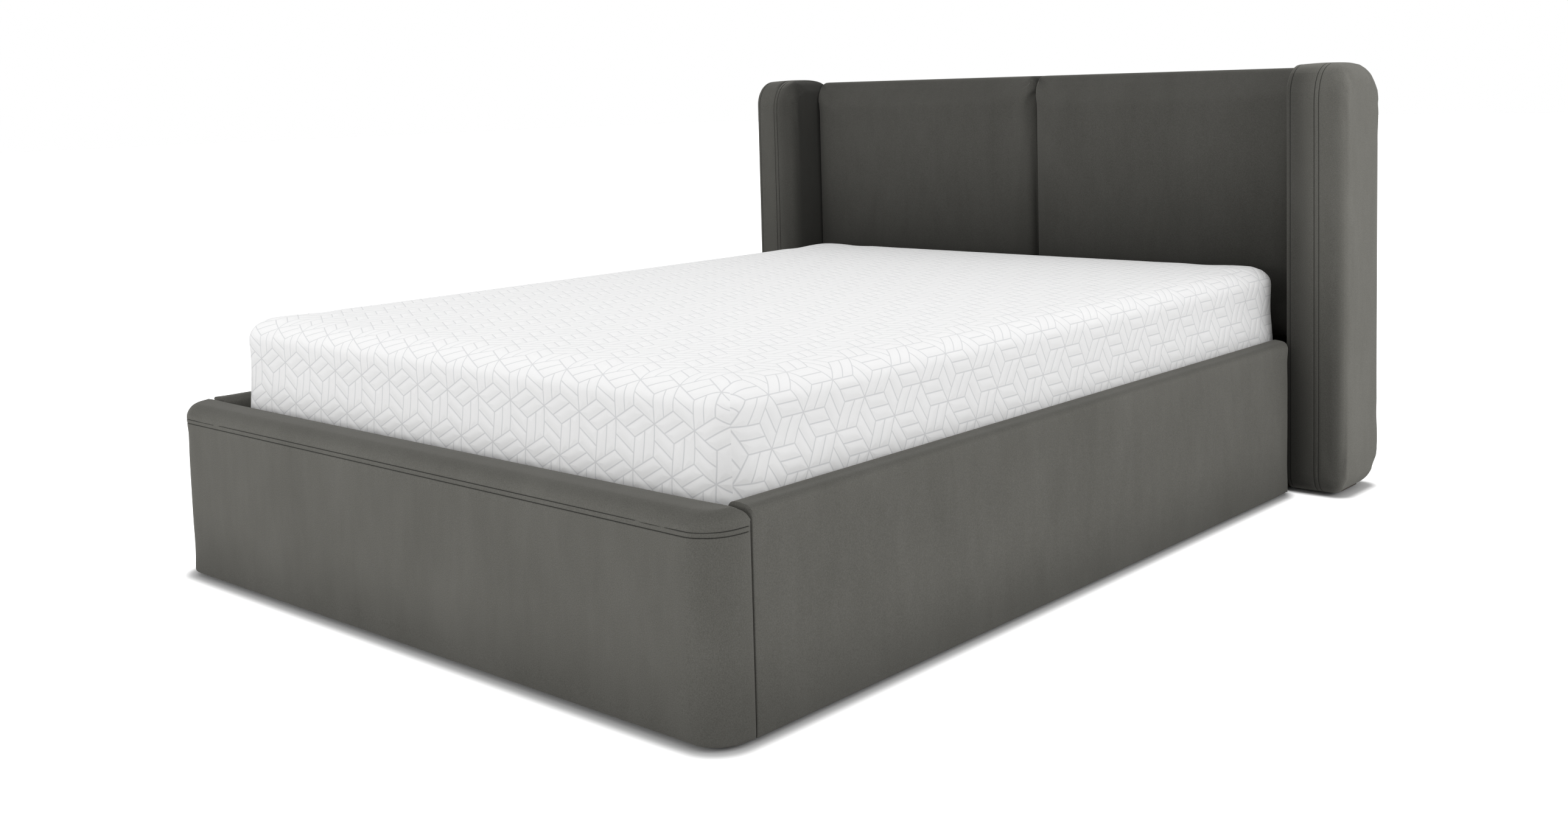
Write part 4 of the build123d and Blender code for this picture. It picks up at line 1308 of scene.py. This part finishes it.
@dataclass
class Mattress:
    """Foam mattress in a quilted knitted cover."""

    knit: Material
    corner: float = 0.060
    top_round: float = 0.045
    bottom_round: float = 0.022
    crown: float = 0.003
    draw_in: float = 0.005
    held: float = 0.06  # height over which its foot is held, as it is filled
    filling: tuple[float, float] = (4.0, 0.006)

    def build(self) -> None:
        """Model the mattress."""
        low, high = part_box("mattress")
        top = high.z - self.crown
        piece = Bench.block("mattress_quilted", low, Vector((high.x, high.y, top)))
        Bench.bevel(piece, upright, self.corner, 8)
        Bench.bevel(piece, within(z=top), self.top_round, 7)
        Bench.bevel(piece, within(z=low.z), self.bottom_round, 4)
        Bench.grid(piece, 0.030)
        co, normal = Bench.points(piece), Bench.normals(piece)
        share = np.clip((co[:, 2] - low.z) / (top - low.z), 0, 1)
        side = 1 - np.abs(normal[:, 2])
        co[:, :2] -= normal[:, :2] * (self.draw_in * np.sin(math.pi * share) * side)[:, None]
        Bench.set_points(piece, co)
        Bench.swell(piece, lambda co: (co[:, 2] < low.z + self.held).astype(float), *self.filling)
        Bench.subdivide(piece)
        self._map(piece, low, high)
        Bench.shade(piece, 60.0)
        Bench.finish(piece, self.knit, "platform", ["mattress"], "mattress_fabric")

    def _fold(self, place: float, height: float, low: float, high: float, top: float) -> float:
        """Distance over the cover from the middle to a point on one axis, over the top's edge.

        Args:
            place: the point's place on the axis.
            height: its height.
            low: the mattress's end on the axis.
            high: its other end.
            top: height of the mattress's top.

        Returns:
            The place measured along the cover.
        """
        middle = (low + high) / 2
        past = abs(place - middle) - (high - low) / 2 + self.top_round
        if past <= 0:
            return place
        drop = height - top + self.top_round
        if drop > 0:
            past = self.top_round * math.atan2(past, drop)
        else:
            past = self.top_round * math.pi / 2 - drop
        return middle + math.copysign((high - low) / 2 - self.top_round + past, place - middle)

    def _map(self, piece: Piece, low: Vector, high: Vector) -> None:
        """Lay the cover's pattern over the top and down the sides, in metres.

        Args:
            piece: the mattress.
            low: its lowest corner.
            high: its highest corner.
        """
        mesh = piece.data
        layer = mesh.uv_layers.new(name="cover")
        for face in mesh.polygons:
            endwise = abs(face.normal.y) > abs(face.normal.x)
            for loop in face.loop_indices:
                p = mesh.vertices[mesh.loops[loop].vertex_index].co
                if endwise:
                    layer.data[loop].uv = (p.x, self._fold(p.y, p.z, low.y, high.y, high.z))
                else:
                    layer.data[loop].uv = (self._fold(p.x, p.z, low.x, high.x, high.z), p.y)


@dataclass
class PullStrap:
    """Loop of webbing that the platform is lifted by, sewn across below the frame."""

    webbing: Material
    thread: Material
    thickness: float = 0.0024
    rows: tuple[float, float, float] = (0.020, 0.026, 0.050)
    pitch: float = 0.0048  # from one stitch to the next
    gap: float = 0.0002  # from the webbing to the stitches, and half the fold's flat

    def build(self) -> None:
        """Model the loop and its stitching."""
        low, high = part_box("pull_strap")
        piece = Bench.block("pull_strap_webbing", low, high)
        Bench.bevel(piece, lambda a, b: abs(a.x - b.x) > 0.01, (high.y - low.y) / 2 - self.gap, 7)
        Bench.select(piece, "FACE", lambda face: abs(face.normal.x) > SQUARE_ON)
        bpy.ops.mesh.delete(type="FACE")
        bpy.ops.object.mode_set(mode="OBJECT")
        modifier = piece.modifiers.new("thickness", "SOLIDIFY")
        modifier.thickness = self.thickness
        modifier.offset = -1.0
        Bench.apply(piece, modifier)
        Bench.shade(piece, 50.0)
        Bench.finish(piece, self.webbing, "platform", ["pull_strap"], "webbing")
        for number, drop in enumerate(self.rows):
            path = np.array([
                (low.x + (high.x - low.x) * share, low.y - self.gap, high.z - drop)
                for share in np.linspace(0.1, 0.9, 9)
            ])
            row = Stitch().along(f"pull_strap_stitches_{number + 1}", path, False, self.pitch)
            Bench.finish(row, self.thread, "platform", [], "webbing")


class Ironwork:
    """Parts of the frame that keep their shape and get a finish."""

    def __init__(self, finishes: dict[str, Material], table: dict[str, str]) -> None:
        """Keep the finishes and the table of node to finish."""
        self.finishes = finishes
        self.table = table

    def dress(self) -> None:
        """Put each finish on its nodes."""
        for name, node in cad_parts.items():
            wanted = next((f for start, f in self.table.items() if name.startswith(start)), None)
            if wanted is None:
                continue
            node.data.materials.clear()
            node.data.materials.append(self.finishes[wanted])
            log.info("%s: %s", name, wanted)


@dataclass
class Studio:
    """Floor, lamps and the camera at the photograph's viewpoint."""

    focal_px: float = 2658.7
    width_px: int = 2576
    height_px: int = 1367
    principal_y: float = 377.7
    azimuth: float = 41.77
    elevation: float = 4.84
    roll: float = -1.53
    place: Point = (2.4950, -2.8418, 1.0125)
    # Painted light: the floor glows white to the camera, except in a painted shadow band round each part
    # of the bed's footprint, given as middle, half size and corner radius.
    floor_glow: float = 0.92
    glow_from: float = 0.038
    footprints: tuple[tuple[Point, Point, float], ...] = (
        ((0.0, -0.124, 0.0), (0.812, 1.0135, 1.0), 0.058),
        ((0.0, 1.0, 0.0), (0.930, 0.085, 1.0), 0.025),
    )
    ambient: float = 0.67
    lamps: tuple[tuple[str, Point, Point, tuple[float, float], float], ...] = (
        ("side_lamp", (4.2, 0.6, 1.9), (0.8, 0.1, 0.5), (2.4, 1.6), 38.0),
        ("foot_lamp", (-0.6, -3.9, 1.1), (-0.1, -1.1, 0.25), (2.6, 0.9), 26.5),
        ("top_lamp", (0.0, -0.2, 3.6), (0.0, -0.1, 0.4), (2.6, 3.0), 22.0),
    )

    def camera(self) -> None:
        """Place the camera."""
        a, e, r = (math.radians(x) for x in (self.azimuth, self.elevation, self.roll))
        back = Vector((math.sin(a) * math.cos(e), -math.cos(a) * math.cos(e), math.sin(e)))
        right = Vector((math.cos(a), math.sin(a), 0.0))
        up = back.cross(right)
        turned_right = right * math.cos(r) + up * math.sin(r)
        turned_up = up * math.cos(r) - right * math.sin(r)
        data = bpy.data.cameras.new("camera")
        data.sensor_width = 36.0
        data.lens = self.focal_px / self.width_px * data.sensor_width
        data.shift_y = -(self.height_px / 2 - self.principal_y) / self.width_px
        camera = bpy.data.objects.new("camera", data)
        camera.matrix_world = Matrix.Translation(self.place) @ Matrix(
            (turned_right, turned_up, back)).transposed().to_4x4()
        bpy.context.scene.collection.objects.link(camera)
        bpy.context.scene.camera = camera

    def floor(self) -> None:
        """Lay a pale floor, painted white further off by a glow that the camera alone sees, with a
        painted shadow band round the bed's footprint where the glow fades and the bed's close shadow
        shows.
        """
        bpy.ops.object.select_all(action="DESELECT")
        bpy.ops.mesh.primitive_plane_add(size=80.0, location=(0.0, 0.0, 0.0))
        floor = bpy.context.active_object
        floor.name = "studio_floor"
        material = bpy.data.materials.new("studio_floor")
        nodes = Surface(material)
        nodes.look(Base_Color=(0.72, 0.72, 0.72, 1.0), Roughness=0.95)
        gaps = []
        for middle, half, corner in self.footprints:
            offset = nodes.vector("ABSOLUTE", nodes.vector("SUBTRACT", nodes.place, middle).outputs[0])
            inner = (half[0] - corner, half[1] - corner, half[2])
            outside = nodes.vector("SUBTRACT", offset.outputs[0], inner)
            outside = nodes.vector("MAXIMUM", outside.outputs[0], (0.0, 0.0, 0.0))
            length = nodes.vector("LENGTH", outside.outputs[0]).outputs["Value"]
            gaps.append(nodes.math("SUBTRACT", length, corner))
        # Painted light: the glow, seen by the camera alone, rises away from the bed's footprint.
        seen = nodes.add("ShaderNodeLightPath").outputs["Is Camera Ray"]
        spread = nodes.smooth(nodes.math("MINIMUM", *gaps), 0.0, self.glow_from)
        strength = nodes.math("MULTIPLY", nodes.math("MULTIPLY", spread, self.floor_glow), seen)
        glow = nodes.add("ShaderNodeEmission", {"Color": (1.0, 1.0, 1.0, 1.0), "Strength": strength})
        both = nodes.add("ShaderNodeAddShader", {0: nodes.principled.outputs[0], 1: glow.outputs[0]})
        nodes.feed(nodes.tree.nodes["Material Output"], {"Surface": both.outputs[0]})
        floor.data.materials.append(material)

    @staticmethod
    def lamp(
        name: str, place: Point, target: Point, size: tuple[float, float], power: float,
    ) -> None:
        """Hang a soft lamp.

        Args:
            name: the lamp's name.
            place: where it hangs.
            target: the point that it faces.
            size: its width and height.
            power: its power in watts.
        """
        data = bpy.data.lights.new(name, "AREA")
        data.shape = "RECTANGLE"
        data.size, data.size_y = size
        data.energy = power
        lamp = bpy.data.objects.new(name, data)
        lamp.location = place
        direction = Vector(target) - Vector(place)
        lamp.rotation_euler = direction.to_track_quat("-Z", "Y").to_euler()
        bpy.context.scene.collection.objects.link(lamp)

    def world(self) -> None:
        """Light from all round, white where the camera sees it."""
        world = bpy.data.worlds.new("studio")
        bpy.context.scene.world = world
        world.use_nodes = True
        nodes = Nodes(world.node_tree)
        background = world.node_tree.nodes["Background"]
        path = nodes.add("ShaderNodeLightPath")
        shown = nodes.math("MAXIMUM", path.outputs["Is Camera Ray"], path.outputs["Is Glossy Ray"])
        shown = nodes.math("MAXIMUM", shown, path.outputs["Is Transmission Ray"])
        strength = nodes.spread(shown, 0.0, 1.0, self.ambient, 1.0)
        nodes.feed(background, {"Color": (1.0, 1.0, 1.0, 1.0), "Strength": strength})

    def build(self) -> None:
        """Build the whole studio."""
        self.camera()
        self.floor()
        self.world()
        for settings in self.lamps:
            self.lamp(*settings)
        bpy.context.scene.view_settings.view_transform = "Standard"


PILE = (linear(89, 88, 83), linear(113, 112, 107))


def materials() -> dict[str, Material]:
    """Make every finish.

    Returns:
        Finish name to material.
    """
    # Painted light and shade on the wings: darker low down and towards the inner edge, lighter outwards.
    wing = {
        "low": 0.47, "heights": (0.05, 0.85), "up": 0.9, "inner": 0.58, "across": (0.815, 0.885),
        "front_only": True,
    }
    wanted = [
        # Plain velvet with the class's painted shade; the copies after it are lit and shaded copies of
        # it.
        Velvet("velvet", *PILE),
        Velvet(
            "velvet_pads", *PILE, low=0.50, heights=(0.50, 0.92),
            front=0.58, up=0.8, right=0.22, left=1.3, across=(0.90, 0.95), front_only=True,
        ),
        Velvet("velvet_wing_right", *PILE, front=0.95, right=1.36, left=1.3, **wing),
        Velvet("velvet_wing_left", *PILE, front=0.76, right=0.22, left=1.3, **wing),
        Velvet("seam_thread", linear(50, 50, 47), linear(66, 65, 61), sheen=0.0),
        QuiltedKnit("mattress_knit", linear(214, 215, 217), linear(253, 253, 253)),
        Wood("pine_timber", linear(176, 138, 94), linear(222, 190, 146)),
        # Painted shade: the panels and frames are dark so that where they show in gaps they read as
        # shadow.
        Wood("stained_timber", linear(50, 43, 36), linear(74, 64, 55)),
        Wood(
            "floor_board", linear(148, 116, 82), linear(186, 154, 116), along=(0.08, 1.0, 1.0),
            scale=16.0,
        ),
        Wood(
            "slat_birch", linear(186, 150, 106), linear(226, 198, 158), along=(0.06, 1.0, 1.0),
            scale=34.0, rough=0.48,
        ),
        Metal(
            "black_steel", linear(22, 22, 23), linear(34, 34, 35), metallic=0.25, rough=0.42,
            rubbed=(0.16, 0.16, 0.16),
        ),
        Metal("zinc_steel", linear(150, 152, 156), linear(190, 192, 194), rough=0.32),
        Metal("chromed_rod", linear(196, 198, 202), linear(222, 223, 226), rough=0.12, speckle=500.0),
        Plastic("black_plastic", linear(20, 20, 21), linear(38, 38, 39)),
        Webbing("strap_webbing", linear(44, 44, 42), linear(92, 91, 86)),
    ]
    return {finish.name: finish.make() for finish in wanted}


# The panels and frames take the dark timber, painted shade where they show in gaps.
NODE_FINISH = {
    "footboard_panel": "stained_timber", "side_rail_panel": "stained_timber",
    "headboard_frame": "stained_timber", "wing_frame": "stained_timber",
    "head_end_board": "floor_board", "storage_floor": "floor_board",
    "floor_batten": "pine_timber", "floor_centre_rail": "pine_timber", "platform_ledge": "pine_timber",
    "floor_glides": "black_plastic", "foot_bracket": "zinc_steel", "head_bracket": "zinc_steel",
    "corner_bolts": "zinc_steel", "lift_plate_screws": "zinc_steel", "lift_plate": "black_steel",
    "lift_arm": "black_steel", "lift_hanger": "black_steel", "arm_studs": "zinc_steel",
    "arm_top_pins": "zinc_steel", "guide_pins": "zinc_steel", "guide_bushes": "black_plastic",
    "strut_cylinder": "black_steel", "strut_rod_end": "zinc_steel", "strut_rod": "chromed_rod",
    "strut_foot_studs": "zinc_steel", "strut_head_studs": "zinc_steel", "platform_frame": "black_steel",
    "slat_bank": "slat_birch", "slat_holders": "black_plastic", "mattress_retainer": "black_steel",
}


def main() -> None:
    """Build the bed's dressed pieces and the studio."""
    finishes = materials()
    velvet, thread = finishes["velvet"], finishes["seam_thread"]
    Ironwork(finishes, NODE_FINISH).dress()
    Footboard(velvet, thread).build()
    for side in (Side.RIGHT, Side.LEFT):
        SideRail(side, velvet).build()
        Wing(side, finishes[f"velvet_wing_{side.word}"], thread).build()
        HeadboardPad(side, finishes["velvet_pads"]).build()
    HeadboardBack(velvet).build()
    Mattress(finishes["mattress_knit"]).build()
    PullStrap(finishes["strap_webbing"], thread).build()
    Studio().build()


if __name__ == "__main__":
    logging.basicConfig(level=logging.INFO, format="%(name)s: %(message)s")
    main()
